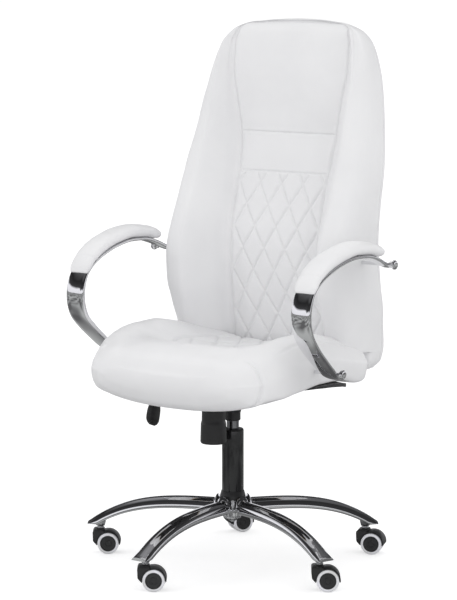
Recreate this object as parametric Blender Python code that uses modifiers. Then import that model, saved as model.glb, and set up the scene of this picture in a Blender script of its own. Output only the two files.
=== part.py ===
"""High-back swivel chair: upholstered seat and back, chrome loop arms, gas lift and a five-leg caster base.

Metres, +Z up. The chair faces -Y and its left side, seen by the person sitting in it, is +X.
The origin is on the floor under the middle of the whole chair, a little off the column's axis. Every
piece hangs from the column's axis, so X = 0 in the tables below is the chair's own middle plane.
"""

import math

import bmesh
import bpy
from mathutils import Matrix, Vector

# ---------------------------------------------------------------- driving dimensions

GAP = 0.0003  # clearance between touching pieces
ROUND_SIDES = 24  # facets round the column's turned pieces
SMALL_SIDES = 12  # facets round bolts, stems and bores
# the column's axis from the middle of the whole chair, whose casters don't all trail the same way
COLUMN_X = -0.008
COLUMN_Y = 0.0198

WHEEL_RADIUS = 0.025
WHEEL_INNER = 0.0055  # from the caster's middle plane to a wheel's inner face
WHEEL_OUTER = 0.0240
WHEEL_SIDES = 16
CASTER_TRAIL = 0.018  # wheel centre behind the swivel axis
# the way each caster trails at rest, in degrees turned from +X towards +Y
CASTER_TURNS = {"front": 36, "front_left": 36, "rear_left": 22, "rear_right": 58, "front_right": 36}
STEM_CIRCLE = 0.325
STEM_RADIUS = 0.0055
AXLE_RADIUS = 0.0030

LEG_COUNT = 5
LEG_LENGTH = 0.350
LEG_TOP = 0.150
LEG_DROP = 0.0735
LEG_CURVE = 3.6  # exponent of the arch
LIP_RADIUS = 0.0365  # upturned lip at a leg's root
LIP_HEIGHT = 0.009
LIP_SPREAD = 0.0032
LEG_FOOT_Z = 0.0690  # flat underside at the leg's tip
FOOT_START = 0.3275  # where the flat underside begins, from the column's axis
HUB_RADIUS = 0.0178
HUB_BOTTOM = 0.105

TUBE_RADIUS = 0.025
TUBE_TOP = 0.310
TAPER_RADIUS = 0.0140
TAPER_BOTTOM = 0.1035
LIFT_ROD_RADIUS = 0.0050
CYLINDER_RADIUS = 0.0140
SOCKET_BOTTOM = 0.332  # underside of the mechanism's socket on the column
SOCKET_TOP = 0.3970

PIVOT_Y = -0.040  # tilt pin, from the column's axis
PIVOT_Z = 0.4035
TRAY_HALF_WIDTH = 0.052
TRAY_WALL = 0.003
TRAY_BOTTOM = 0.380
PIN_RADIUS = 0.0050
PLATE_BOTTOM = 0.4205
PLATE_THICKNESS = 0.003
KNOB_Y = -0.074
SPRING_TURNS = 3.5
SPRING_WIRE_RADIUS = 0.0026
SPRING_COIL_RADIUS = 0.0170
LEVER_Y = -0.004
LEVER_Z = 0.3945
LEVER_ROD_RADIUS = 0.0040
BUSH_RADIUS = 0.0080
PADDLE_SLOPE = math.radians(80)

BOARD_BOTTOM = 0.4240
BOARD_THICKNESS = 0.010
COVER_THICKNESS = 0.003
BRACKET_HALF_WIDTH = 0.055
BRACKET_THICKNESS = 0.004
BRACKET_TOP = 0.560
BRACKET_REAR_Y = 0.2175

ARM_X = 0.313  # middle of an arm's bar at its widest
ARM_BOLT_RADIUS = 0.0040
# each arm bolt: its height and place along the seat, the cap's outer face, its neck's length, the blind end
ARM_BOLTS = {
    "front": {"y": -0.050, "z": 0.4745, "cap_x": 0.3380, "neck": 0.0020, "end_x": 0.2450},
    "rear": {"y": 0.147, "z": 0.6980, "cap_x": 0.3440, "neck": 0.0070, "end_x": 0.2350},
}

# ---------------------------------------------------------------- scene and materials

for old in list(bpy.data.objects):
    bpy.data.objects.remove(old, do_unlink=True)

chair = bpy.data.collections.new("swivel_chair")
cutters = bpy.data.collections.new("cutters")
bpy.context.scene.collection.children.link(chair)
bpy.context.scene.collection.children.link(cutters)


def finish_material(name, colour, roughness, metallic=0.0):
    """One Principled material."""
    material = bpy.data.materials.new(name)
    material.use_nodes = True
    shader = material.node_tree.nodes["Principled BSDF"]
    shader.inputs["Base Color"].default_value = (*colour, 1.0)
    shader.inputs["Roughness"].default_value = roughness
    shader.inputs["Metallic"].default_value = metallic
    return material


FINISHES = {
    "white_leatherette": ((0.86, 0.86, 0.87), 0.45, 0.0),
    "chrome": ((0.80, 0.80, 0.82), 0.06, 1.0),
    "dark_chrome": ((0.42, 0.42, 0.44), 0.12, 1.0),
    "black_gloss": ((0.015, 0.015, 0.016), 0.18, 0.0),
    "black_plastic": ((0.022, 0.022, 0.024), 0.42, 0.0),
    "black_steel": ((0.03, 0.03, 0.032), 0.40, 0.6),
    "bright_steel": ((0.62, 0.62, 0.64), 0.25, 1.0),
    "wheel_tread": ((0.80, 0.80, 0.80), 0.50, 0.0),
    "black_cloth": ((0.02, 0.02, 0.022), 0.90, 0.0),
    "plywood": ((0.60, 0.44, 0.26), 0.65, 0.0),
}
MATERIALS = {}


def material_of(finish):
    if finish not in MATERIALS:
        MATERIALS[finish] = finish_material(finish, *FINISHES[finish])
    return MATERIALS[finish]


# ---------------------------------------------------------------- placing


def empty(name, location, turn_z=0.0, parent=None):
    """An axis that pieces hang from."""
    axis = bpy.data.objects.new(name, None)
    axis.location = location
    axis.rotation_euler = (0.0, 0.0, turn_z)
    axis.parent = parent
    chair.objects.link(axis)
    return axis


COLUMN = empty("column_axis", (COLUMN_X, COLUMN_Y, 0.0))


def add_node(name, mesh, finish, parent=COLUMN, location=(0, 0, 0), rotation=(0, 0, 0)):
    """Links a mesh as a named piece with its own material slot."""
    piece = bpy.data.objects.new(name, mesh)
    mesh.materials.clear()
    mesh.materials.append(material_of(finish))
    piece.parent = parent
    piece.location = location
    piece.rotation_euler = rotation
    chair.objects.link(piece)
    return piece


def smooth(mesh, angle=40.0):
    mesh.shade_smooth()
    mesh.set_sharp_from_angle(angle=math.radians(angle))


# ---------------------------------------------------------------- shape makers


def mesh_from(bm, name, angle=40.0):
    mesh = bpy.data.meshes.new(name)
    bmesh.ops.recalc_face_normals(bm, faces=bm.faces)
    bm.to_mesh(mesh)
    bm.free()
    smooth(mesh, angle)
    return mesh


def box_mesh(name, low, high, bevel=0.0):
    """A box between two corners, its edges rounded."""
    low, high = Vector(low), Vector(high)
    bm = bmesh.new()
    bmesh.ops.create_cube(bm, size=1.0)
    bmesh.ops.scale(bm, vec=high - low, verts=bm.verts)
    bmesh.ops.translate(bm, vec=(low + high) / 2, verts=bm.verts)
    if bevel:
        bmesh.ops.bevel(bm, geom=bm.edges[:], offset=bevel, segments=2, affect="EDGES", profile=0.5)
    return mesh_from(bm, name)


def rod_mesh(name, radius, start, end, sides=16):
    """A plain cylinder between two points."""
    start, end = Vector(start), Vector(end)
    bm = bmesh.new()
    bmesh.ops.create_cone(
        bm, cap_ends=True, segments=sides, radius1=radius, radius2=radius, depth=(end - start).length
    )
    turn = Vector((0, 0, 1)).rotation_difference(end - start).to_matrix().to_4x4()
    bmesh.ops.transform(bm, matrix=Matrix.Translation((start + end) / 2) @ turn, verts=bm.verts)
    return mesh_from(bm, name)


def turned_mesh(name, profile, steps=24, ring=False, angle=35.0):
    """A profile of (radius, height) points, listed down the outer side, turned about Z.

    A ring's profile closes on itself; any other starts and ends on the axis."""
    bm = bmesh.new()
    points = [bm.verts.new((radius, 0.0, height)) for radius, height in profile]
    for first, second in zip(points, points[1:]):
        bm.edges.new((first, second))
    if ring:
        bm.edges.new((points[-1], points[0]))
    mesh = bpy.data.meshes.new(name + "_profile")
    bm.to_mesh(mesh)
    bm.free()
    guide = bpy.data.objects.new(name + "_guide", mesh)
    cutters.objects.link(guide)
    screw = guide.modifiers.new("turn", "SCREW")
    screw.steps = screw.render_steps = steps
    screw.use_merge_vertices = True
    screw.merge_threshold = 0.00001
    solid = baked(guide, name)
    smooth(solid, angle)
    return solid


def baked(source, name):
    """The evaluated mesh of an object with its modifiers, the object then removed."""
    bpy.context.view_layer.update()
    graph = bpy.context.evaluated_depsgraph_get()
    solid = bpy.data.meshes.new_from_object(source.evaluated_get(graph))
    solid.name = name
    bm = bmesh.new()
    bm.from_mesh(solid)
    bmesh.ops.remove_doubles(bm, verts=bm.verts, dist=0.000005)
    bm.to_mesh(solid)
    bm.free()
    bpy.data.objects.remove(source, do_unlink=True)
    return solid


def outline_mesh(name, points, half_thickness, bevel=0.0):
    """A flat outline in the XY plane, filled and thickened along Z."""
    curve = bpy.data.curves.new(name + "_outline", "CURVE")
    curve.dimensions = "2D"
    curve.fill_mode = "BOTH"
    curve.extrude = half_thickness - bevel
    curve.bevel_depth = bevel
    curve.bevel_resolution = 0
    curve.offset = -bevel
    spline = curve.splines.new("POLY")
    spline.points.add(len(points) - 1)
    for point, (x, y) in zip(spline.points, points):
        point.co = (x, y, 0.0, 1.0)
    spline.use_cyclic_u = True
    guide = bpy.data.objects.new(name + "_guide", curve)
    cutters.objects.link(guide)
    return baked(guide, name)


def loft_mesh(name, rings, angle=50.0):
    """Closed rings of points, each joined to the next, with both ends capped."""
    bm = bmesh.new()
    loops = [[bm.verts.new(point) for point in ring] for ring in rings]
    count = len(loops[0])
    for near, far in zip(loops, loops[1:]):
        for i in range(count):
            j = (i + 1) % count
            bm.faces.new((near[i], near[j], far[j], far[i]))
    bm.faces.new(reversed(loops[0]))
    bm.faces.new(loops[-1])
    return mesh_from(bm, name, angle)


def between(table, where):
    """Smooth value (or values) of a table of (place, value...) rows at a place."""
    places = [row[0] for row in table]
    where = min(max(where, places[0]), places[-1])
    last = len(table) - 2
    i = min(max(k for k in range(len(table)) if places[k] <= where), last)
    t = (where - places[i]) / (places[i + 1] - places[i])
    values = []
    for column in range(1, len(table[0])):
        a = table[max(i - 1, 0)][column]
        b = table[i][column]
        c = table[i + 1][column]
        d = table[min(i + 2, last + 1)][column]
        span = places[i + 1] - places[i]
        before = (c - a) / (places[i + 1] - places[max(i - 1, 0)]) * span
        after = (d - b) / (places[min(i + 2, last + 1)] - places[i]) * span
        values.append(
            (2 * t**3 - 3 * t**2 + 1) * b
            + (t**3 - 2 * t**2 + t) * before
            + (-2 * t**3 + 3 * t**2) * c
            + (t**3 - t**2) * after
        )
    return values


def oval(half_width, half_height, sides, squareness=2.4):
    """Points of a rounded rectangle between an ellipse and a box."""
    points = []
    for i in range(sides):
        angle = 2 * math.pi * (i + 0.5) / sides
        c, s = math.cos(angle), math.sin(angle)
        across = math.copysign(abs(c) ** (2 / squareness), c) * half_width
        up = math.copysign(abs(s) ** (2 / squareness), s) * half_height
        points.append((across, up))
    return points


def bar_rings(stations, count, section):
    """Rings along a bar that bends in the YZ plane.

    A station is (x, y, z, half width, half thickness); the width stays along X."""
    lengths = [0.0]
    for a, b in zip(stations, stations[1:]):
        lengths.append(lengths[-1] + (Vector(b[:3]) - Vector(a[:3])).length)
    table = [(length, *station) for length, station in zip(lengths, stations)]
    rings = []
    for k in range(count + 1):
        place = lengths[-1] * k / count
        x, y, z, half_width, half_thick = between(table, place)
        back = between(table, place - 0.002)
        ahead = between(table, place + 0.002)
        along = Vector((0.0, ahead[1] - back[1], ahead[2] - back[2])).normalized()
        outward = Vector((0.0, -along.z, along.y))
        rings.append(
            [
                Vector((x + across, y, z)) + outward * up
                for across, up in section(half_width, half_thick)
            ]
        )
    return rings


def mirrored(mesh, name):
    """The same mesh on the other side of the chair's middle plane."""
    other = mesh.copy()
    other.name = name
    bm = bmesh.new()
    bm.from_mesh(other)
    bmesh.ops.scale(bm, vec=(-1, 1, 1), verts=bm.verts)
    bmesh.ops.reverse_faces(bm, faces=bm.faces)
    bm.to_mesh(other)
    bm.free()
    return other


def boolean(piece, mesh, operation="DIFFERENCE"):
    """Cuts a mesh from a piece, or joins it on. The mesh is in the piece's own space."""
    helper = bpy.data.objects.new(piece.name + "_cutter", mesh)
    helper.parent = piece.parent
    helper.location = piece.location
    helper.rotation_euler = piece.rotation_euler
    helper.hide_render = True
    helper.display_type = "WIRE"
    cutters.objects.link(helper)
    modifier = piece.modifiers.new(operation.lower(), "BOOLEAN")
    modifier.operation = operation
    modifier.object = helper
    return helper


# ---------------------------------------------------------------- base


def leg_top(radius):
    """Height of a leg's ridge at a distance from the column's axis, with the upturned lip at its root."""
    arch = LEG_TOP - LEG_DROP * (radius / LEG_LENGTH) ** LEG_CURVE
    lip = LIP_HEIGHT * math.exp(-(((radius - LIP_RADIUS) / LIP_SPREAD) ** 2))
    return arch + lip


def leg_section(radius):
    """Half widths and depths below the ridge, from the ridge down to the flat underside."""
    widest = 0.0200 if radius > 0.045 else 0.0188
    half = min(widest, math.tan(math.pi / LEG_COUNT) * radius - 2 * GAP)
    top = leg_top(radius)
    height = 0.029 - 0.006 * radius / LEG_LENGTH
    bottom = max(top - height, LEG_FOOT_Z)
    height = top - bottom
    shares = ((0.0, 0.0), (0.45, 0.05), (0.80, 0.30), (0.95, 0.65), (1.0, 1.0))
    return top, [(half * across, height * down) for across, down in shares]


def leg_mesh():
    """One arched leg running out along +X."""
    root = HUB_RADIUS + GAP
    places = [root, 0.0295, 0.0338, LIP_RADIUS, 0.0395, 0.047, 0.100, 0.150]
    places += [0.150 + (LEG_LENGTH - 0.150) * k / 7 for k in range(1, 7)]
    places += [FOOT_START, LEG_LENGTH]
    rings = []
    for radius in places:
        top, half_section = leg_section(radius)
        right = [(across, top - down) for across, down in half_section]
        left = [(-across, height) for across, height in reversed(right[1:])]
        rings.append([Vector((radius, across, height)) for across, height in right + left])
    return loft_mesh("base_leg", rings, 35)


def build_legs():
    leg_names = ("front", "front_left", "rear_left", "rear_right", "front_right")
    boss = turned_mesh(
        "stem_boss",
        [(0.0, 0.078), (0.0125, 0.078), (0.0125, 0.0740), (0.0100, 0.0640), (0.0, 0.0640)],
        12,
    )
    bore = rod_mesh("stem_bore", STEM_RADIUS + GAP, (0, 0, 0.050), (0, 0, 0.0790), 12)
    for mesh in (boss, bore):
        mesh.transform(Matrix.Translation((STEM_CIRCLE, 0, 0)))
    shape = leg_mesh()
    axes = []
    for index, side in enumerate(leg_names):
        turn = -math.pi / 2 + index * 2 * math.pi / LEG_COUNT
        axis = empty("leg_axis_" + side, (0, 0, 0), turn, COLUMN)
        leg = add_node("leg_" + side, shape, "chrome", axis)
        boolean(leg, boss, "UNION")
        boolean(leg, bore)
        axes.append((side, turn))
    return axes


def build_hub():
    wall = TAPER_RADIUS + GAP
    profile = [
        (HUB_RADIUS, LEG_TOP - 0.001),
        (HUB_RADIUS, HUB_BOTTOM + 0.005),
        (HUB_RADIUS + 0.0015, HUB_BOTTOM + 0.004),
        (HUB_RADIUS + 0.0015, HUB_BOTTOM),
        (wall, HUB_BOTTOM),
        (wall, LEG_TOP - 0.001),
    ]
    add_node("hub_sleeve", turned_mesh("hub_sleeve", profile, ROUND_SIDES, ring=True), "chrome")
    ring = [
        (0.0262, 0.1690),
        (0.0290, 0.1590),
        (0.0290, 0.1503),
        (wall, 0.1503),
        (wall, 0.1600),
        (TUBE_RADIUS + GAP, 0.1600),
        (TUBE_RADIUS + GAP, 0.1690),
    ]
    add_node("column_foot_ring", turned_mesh("column_foot_ring", ring, ROUND_SIDES, ring=True), "black_plastic")


# ---------------------------------------------------------------- gas lift


def build_gas_lift():
    bore = 0.0222
    rod = LIFT_ROD_RADIUS
    groove = rod - 0.0010
    tube = [
        (bore, TUBE_TOP),
        (TUBE_RADIUS, TUBE_TOP),
        (TUBE_RADIUS, 0.1603),
        (TAPER_RADIUS, 0.1603),
        (TAPER_RADIUS - 0.0006, TAPER_BOTTOM),
        (rod + GAP, TAPER_BOTTOM),
        (rod + GAP, 0.1720),
        (bore, 0.1720),
    ]
    add_node("lift_outer_tube", turned_mesh("lift_outer_tube", tube, ROUND_SIDES, ring=True), "black_gloss")
    inner = CYLINDER_RADIUS + 0.0002
    bush = [
        (inner, TUBE_TOP + 0.0030),
        (TUBE_RADIUS - 0.0020, TUBE_TOP + 0.0030),
        (TUBE_RADIUS - 0.0004, TUBE_TOP + 0.0015),
        (TUBE_RADIUS - 0.0004, TUBE_TOP + GAP),
        (bore - GAP, TUBE_TOP + GAP),
        (bore - GAP, TUBE_TOP - 0.0300),
        (inner, TUBE_TOP - 0.0300),
    ]
    add_node("lift_guide_bush", turned_mesh("lift_guide_bush", bush, ROUND_SIDES, ring=True), "black_plastic")
    top = SOCKET_TOP - 0.0045
    cylinder = [
        (0.0, top),
        (CYLINDER_RADIUS - 0.001, top),
        (CYLINDER_RADIUS, top - 0.001),
        (CYLINDER_RADIUS, 0.1950),
        (rod + 0.0005, 0.1950),
        (rod + 0.0005, 0.3450),
        (0.0, 0.3450),
    ]
    add_node("lift_cylinder", turned_mesh("lift_cylinder", cylinder, ROUND_SIDES), "dark_chrome")
    spindle = [
        (0.0, 0.3200),
        (rod, 0.3200),
        (rod, 0.1010),
        (groove, 0.1010),
        (groove, 0.0992),
        (rod, 0.0992),
        (rod, 0.0960),
        (0.0, 0.0960),
    ]
    add_node("lift_rod", turned_mesh("lift_rod", spindle, 12), "bright_steel")
    clip = [
        (groove + 0.0001, 0.1007),
        (0.0100, 0.1007),
        (0.0100, 0.0995),
        (groove + 0.0001, 0.0995),
    ]
    add_node("lift_retaining_clip", turned_mesh("lift_retaining_clip", clip, 16, ring=True), "bright_steel")


# ---------------------------------------------------------------- tilt mechanism


def side_plate_mesh(name, outline, half_width):
    """An outline drawn as (y, z) points, extruded along X."""
    mesh = outline_mesh(name, outline, half_width)
    # local x -> Y, local y -> Z, thickness -> X
    mesh.transform(Matrix(((0, 0, 1, 0), (1, 0, 0, 0), (0, 1, 0, 0), (0, 0, 0, 1))))
    return mesh


def pin_bore(name):
    """The hole that the tilt pin passes through."""
    return rod_mesh(name, PIN_RADIUS + GAP, (-0.08, PIVOT_Y, PIVOT_Z), (0.08, PIVOT_Y, PIVOT_Z), SMALL_SIDES)


def build_tray():
    """The pressed tray that clamps on the column and carries the tilt pin, the spring and the lever."""
    outline = [
        (-0.104, TRAY_BOTTOM),
        (0.052, TRAY_BOTTOM),
        (0.056, TRAY_BOTTOM + 0.004),
        (0.056, TRAY_BOTTOM + 0.012),
        (0.030, TRAY_BOTTOM + 0.020),
        (-0.010, TRAY_BOTTOM + 0.028),
        (-0.040, TRAY_BOTTOM + 0.0355),
        (-0.104, TRAY_BOTTOM + 0.037),
    ]
    tray = add_node("tilt_tray", side_plate_mesh("tilt_tray", outline, TRAY_HALF_WIDTH), "black_steel")
    inside = TRAY_HALF_WIDTH - TRAY_WALL
    floor = TRAY_BOTTOM + TRAY_WALL
    front_room = box_mesh("front_room", (-inside, -0.101, floor), (inside, -0.024, floor + 0.05))
    rear_room = box_mesh("rear_room", (-inside, 0.024, floor), (inside, 0.053, floor + 0.05))
    boolean(tray, front_room)
    boolean(tray, rear_room)
    socket = turned_mesh(
        "socket",
        [
            (0.0, TRAY_BOTTOM + 0.010),
            (0.0240, TRAY_BOTTOM + 0.010),
            (0.0240, TRAY_BOTTOM - 0.012),
            (0.0178, TRAY_BOTTOM - 0.030),
            (0.0178, SOCKET_BOTTOM + 0.002),
            (0.0165, SOCKET_BOTTOM),
            (0.0, SOCKET_BOTTOM),
        ],
        ROUND_SIDES,
    )
    boolean(tray, socket, "UNION")
    boolean(tray, rod_mesh("column_bore", CYLINDER_RADIUS + GAP, (0, 0, 0.300), (0, 0, SOCKET_TOP), ROUND_SIDES))
    boolean(tray, rod_mesh("bolt_hole", 0.0056, (0, KNOB_Y, 0.370), (0, KNOB_Y, 0.400), SMALL_SIDES))
    boolean(tray, pin_bore("pin_hole"))
    # the lever's bush rocks in a room behind the wall, so its hole is wider than the bush
    boolean(
        tray,
        box_mesh("lever_room", (-inside, LEVER_Y - 0.013, floor), (-0.025, LEVER_Y + 0.013, floor + 0.05)),
    )
    boolean(
        tray,
        rod_mesh("lever_hole", BUSH_RADIUS + 0.0012, (-0.08, LEVER_Y, LEVER_Z), (-0.030, LEVER_Y, LEVER_Z), SMALL_SIDES),
    )


def build_tension():
    """The hand knob with its bolt, and the coil spring that the bolt squeezes."""
    under = TRAY_BOTTOM - 0.0015
    grip = [(0.0, under + 0.0350), (0.0052, under + 0.0350), (0.0052, under), (0.0240, under)]
    grip += [(0.0262, under - 0.0030), (0.0268, 0.3420), (0.0288, 0.3350)]
    grip += [(0.0300, 0.2940), (0.0280, 0.2900), (0.0, 0.2900)]
    knob = turned_mesh("tension_knob", grip, ROUND_SIDES)
    add_node("tension_knob", knob, "black_plastic", location=(0, KNOB_Y, 0))
    low, high = TRAY_BOTTOM + TRAY_WALL + 0.0032, TRAY_BOTTOM + 0.0320
    curve = bpy.data.curves.new("tension_spring", "CURVE")
    curve.dimensions = "3D"
    curve.bevel_depth = SPRING_WIRE_RADIUS
    curve.bevel_resolution = 1
    curve.use_fill_caps = True
    steps = int(SPRING_TURNS * 10)
    spline = curve.splines.new("POLY")
    spline.points.add(steps)
    for i, point in enumerate(spline.points):
        angle = 2 * math.pi * SPRING_TURNS * i / steps
        height = low + (high - low) * i / steps
        across = SPRING_COIL_RADIUS * math.cos(angle)
        along = KNOB_Y + SPRING_COIL_RADIUS * math.sin(angle)
        point.co = (across, along, height, 1.0)
    guide = bpy.data.objects.new("spring_guide", curve)
    cutters.objects.link(guide)
    add_node("tension_spring", baked(guide, "tension_spring"), "bright_steel")


def build_tilt_frame():
    """The pin, and the top plate whose ears turn on it."""
    half = TRAY_HALF_WIDTH
    reach = half + 0.0075
    pin = rod_mesh("tilt_pin", PIN_RADIUS, (-reach, PIVOT_Y, PIVOT_Z), (reach, PIVOT_Y, PIVOT_Z), SMALL_SIDES)
    add_node("tilt_pin", pin, "bright_steel")
    top = box_mesh(
        "seat_plate", (-0.0580, -0.112, PLATE_BOTTOM), (0.0580, 0.090, PLATE_BOTTOM + PLATE_THICKNESS)
    )
    plate = add_node("seat_plate", top, "black_steel")
    for side in (-1, 1):
        inner, outer = side * (half + 0.0012), side * (half + 0.0042)
        ear = box_mesh(
            "ear",
            (min(inner, outer), PIVOT_Y - 0.018, PIVOT_Z - 0.012),
            (max(inner, outer), PIVOT_Y + 0.018, PLATE_BOTTOM + 0.001),
        )
        boolean(plate, ear, "UNION")
    boolean(plate, pin_bore("ear_hole"))


def build_lever():
    """The height lever: a rod that slides in a bush, with a moulded paddle on its end."""
    bore = LEVER_ROD_RADIUS + GAP
    # heights run outwards from the tray's wall
    bush = [
        (bore, 0.0080),
        (0.0110, 0.0080),
        (0.0110, 0.0030),
        (BUSH_RADIUS, 0.0030),
        (BUSH_RADIUS, -0.0120),
        (bore, -0.0120),
    ]
    add_node(
        "lever_bush",
        turned_mesh("lever_bush", bush, SMALL_SIDES, ring=True),
        "black_plastic",
        location=(-TRAY_HALF_WIDTH, LEVER_Y, LEVER_Z),
        rotation=(0.0, -math.pi / 2, 0.0),
    )
    curve = bpy.data.curves.new("lever_rod", "CURVE")
    curve.dimensions = "3D"
    curve.bevel_depth = LEVER_ROD_RADIUS
    curve.bevel_resolution = 2
    curve.use_fill_caps = True
    down = Vector((-math.cos(PADDLE_SLOPE), 0.0, -math.sin(PADDLE_SLOPE)))
    route = [(-0.0360, 0.0), (-0.1500, 0.0), (-0.1830, -0.0030), (-0.2060, -0.0130), (-0.2190, -0.0280)]
    route = [Vector((x, LEVER_Y, LEVER_Z + z)) for x, z in route]
    route.append(route[-1] + down * 0.020)
    spline = curve.splines.new("POLY")
    spline.points.add(len(route) - 1)
    for point, place in zip(spline.points, route):
        point.co = (*place, 1.0)
    guide = bpy.data.objects.new("lever_guide", curve)
    cutters.objects.link(guide)
    add_node("lever_rod", baked(guide, "lever_rod"), "black_steel")
    # (distance along the blade, half width, half thickness); the tip is slanted, longer at the rear
    stations = (
        (0.0, 0.0080, 0.0070),
        (0.008, 0.0120, 0.0095),
        (0.024, 0.0175, 0.0105),
        (0.046, 0.0190, 0.0100),
        (0.057, 0.0150, 0.0075),
        (0.061, 0.0095, 0.0045),
    )
    rings = []
    for along, half_width, half_height in stations:
        slant = 0.35 * along / stations[-1][0]
        rings.append(
            [Vector((-along - slant * across, across, up)) for across, up in oval(half_width, half_height, 12)]
        )
    paddle = loft_mesh("lever_paddle", rings)
    start = route[-1] - down * 0.010
    blade = add_node("lever_paddle", paddle, "black_plastic", location=start, rotation=(0, -PADDLE_SLOPE, 0))
    boolean(blade, rod_mesh("paddle_bore", bore, (0.010, 0, 0), (-0.0104, 0, 0), SMALL_SIDES))


# ---------------------------------------------------------------- casters


def caster_meshes():
    """Meshes of one caster about its swivel axis, trailing along +X, its axle along Y."""
    centre = (CASTER_TRAIL, WHEEL_RADIUS)
    cover = WHEEL_RADIUS + 0.0035
    arc = []
    for i in range(9):
        angle = math.radians(-4 + (112 + 4) * i / 8)
        arc.append((centre[0] + cover * math.cos(angle), centre[1] + cover * math.sin(angle)))
    block = [(0.0075, 0.0560), (-0.0140, 0.0560), (-0.0180, 0.0525), (-0.0172, 0.0300)]
    block += [(-0.0085, 0.0205), (0.0040, 0.0125), (0.0330, 0.0125)]
    outline = arc + block
    hood = outline_mesh("caster_hood", outline, 0.0225)
    hood.transform(Matrix.Rotation(math.pi / 2, 4, "X"))
    smooth(hood, 35)

    inner, outer = WHEEL_INNER, WHEEL_OUTER
    radius = WHEEL_RADIUS
    bore = AXLE_RADIUS + GAP
    profile = [
        (0.0, outer - 0.0012),
        (0.0175, outer - 0.0012),
        (0.0185, outer),
        (radius - 0.0020, outer),
        (radius, outer - 0.0035),
        (radius, inner),
        (bore, inner),
        (bore, inner + 0.0120),
        (0.0, inner + 0.0120),
    ]
    wheel = turned_mesh("caster_wheel", profile, WHEEL_SIDES)
    # the turned wheel's outer face is towards +Z: it is laid over to face +Y
    wheel.transform(Matrix.Rotation(-math.pi / 2, 4, "X"))
    stem = turned_mesh(
        "caster_stem",
        [
            (0.0, 0.0780),
            (STEM_RADIUS, 0.0780),
            (STEM_RADIUS, 0.0612),
            (0.0085, 0.0612),
            (0.0085, 0.0585),
            (STEM_RADIUS - 0.0010, 0.0585),
            (STEM_RADIUS - 0.0010, 0.0380),
            (0.0, 0.0380),
        ],
        SMALL_SIDES,
    )
    axle = rod_mesh("caster_axle", AXLE_RADIUS, (0, -0.0170, 0), (0, 0.0170, 0), SMALL_SIDES)
    axle.transform(Matrix.Translation((centre[0], 0, centre[1])))
    return hood, wheel, stem, axle


def build_casters(axes):
    hood, wheel, stem, axle = caster_meshes()
    centre = Vector((CASTER_TRAIL, 0.0, WHEEL_RADIUS))
    pocket = WHEEL_RADIUS + 0.0011
    web = Vector((0.0, WHEEL_INNER - 0.0009, 0.0))
    reach = Vector((0.0, 0.040, 0.0))
    half_axle = Vector((0.0, 0.020, 0.0))
    cuts = [
        rod_mesh("pocket_a", pocket, centre + web, centre + reach, WHEEL_SIDES),
        rod_mesh("pocket_b", pocket, centre - reach, centre - web, WHEEL_SIDES),
        rod_mesh("axle_bore", AXLE_RADIUS + 0.0001, centre - half_axle, centre + half_axle, SMALL_SIDES),
        rod_mesh("stem_seat", STEM_RADIUS - 0.0010 + GAP, (0, 0, 0.0375), (0, 0, 0.0700), SMALL_SIDES),
    ]
    profile = [(0.0, 0.0580), (0.0085, 0.0580), (0.0095, 0.0550), (0.0095, 0.0400), (0.0, 0.0400)]
    collar = turned_mesh("collar", profile, SMALL_SIDES)
    for side, turn in axes:
        place = Vector((math.cos(turn), math.sin(turn), 0.0)) * STEM_CIRCLE
        axis = empty("caster_axis_" + side, place, math.radians(CASTER_TURNS[side]), COLUMN)
        add_node("caster_stem_" + side, stem, "bright_steel", axis)
        body = add_node("caster_hood_" + side, hood, "black_plastic", axis)
        boolean(body, collar, "UNION")
        for cut in cuts:
            boolean(body, cut)
        add_node("caster_axle_" + side, axle, "bright_steel", axis)
        add_node("wheel_a_" + side, wheel, "wheel_tread", axis, centre)
        add_node("wheel_b_" + side, wheel, "wheel_tread", axis, centre, (0, 0, math.pi))


# ---------------------------------------------------------------- seat

# distance along the seat, half width, top at the middle, top at the side bolster,
# underside at the middle, lower edge at the side
SEAT = [
    (-0.268, 0.172, 0.478, 0.476, 0.428, 0.440),
    (-0.262, 0.200, 0.499, 0.496, 0.404, 0.426),
    (-0.246, 0.228, 0.517, 0.512, 0.391, 0.414),
    (-0.205, 0.252, 0.530, 0.528, 0.389, 0.421),
    (-0.150, 0.261, 0.526, 0.541, 0.395, 0.423),
    (-0.090, 0.262, 0.508, 0.552, 0.404, 0.430),
    (-0.030, 0.261, 0.499, 0.553, 0.412, 0.435),
    (0.040, 0.260, 0.496, 0.542, 0.416, 0.4365),
    (0.100, 0.258, 0.495, 0.528, 0.418, 0.431),
    (0.150, 0.258, 0.496, 0.521, 0.418, 0.4215),
    (0.172, 0.255, 0.493, 0.513, 0.421, 0.4235),
    (0.182, 0.246, 0.486, 0.499, 0.430, 0.436),
]


def seat_ring(y):
    """One closed section across the seat."""
    half, middle, bolster, under, edge = between(SEAT, y)
    # height of the underside at the board's edge: behind the middle it stays above the dust cover
    haunch = under + 0.40 * (edge - under)
    if y > -0.10:
        haunch = max(haunch, BOARD_BOTTOM - 0.0005)
    if y > -0.05:
        haunch = max(haunch, BOARD_BOTTOM + 0.0030)
    depth = bolster - edge
    right = [
        (0.0, middle),
        (0.10, middle + 0.10 * (bolster - middle)),
        (0.155, middle + 0.55 * (bolster - middle)),
        (0.200, bolster),
        (0.238, bolster - min(0.014, 0.18 * depth)),
        (0.257, bolster - min(0.045, 0.46 * depth)),
        (0.260, (bolster + edge) / 2 - min(0.005, 0.10 * depth)),
        (0.254, edge + min(0.014, 0.25 * depth)),
        (0.236, edge),
        (0.170, haunch),
        (0.09, under + 0.08 * (edge - under)),
        (0.0, under),
    ]
    right = [(x * half / 0.260, z) for x, z in right]
    left = [(-x, z) for x, z in reversed(right[1:-1])]
    return [Vector((x, y, z)) for x, z in right + left]


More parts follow.
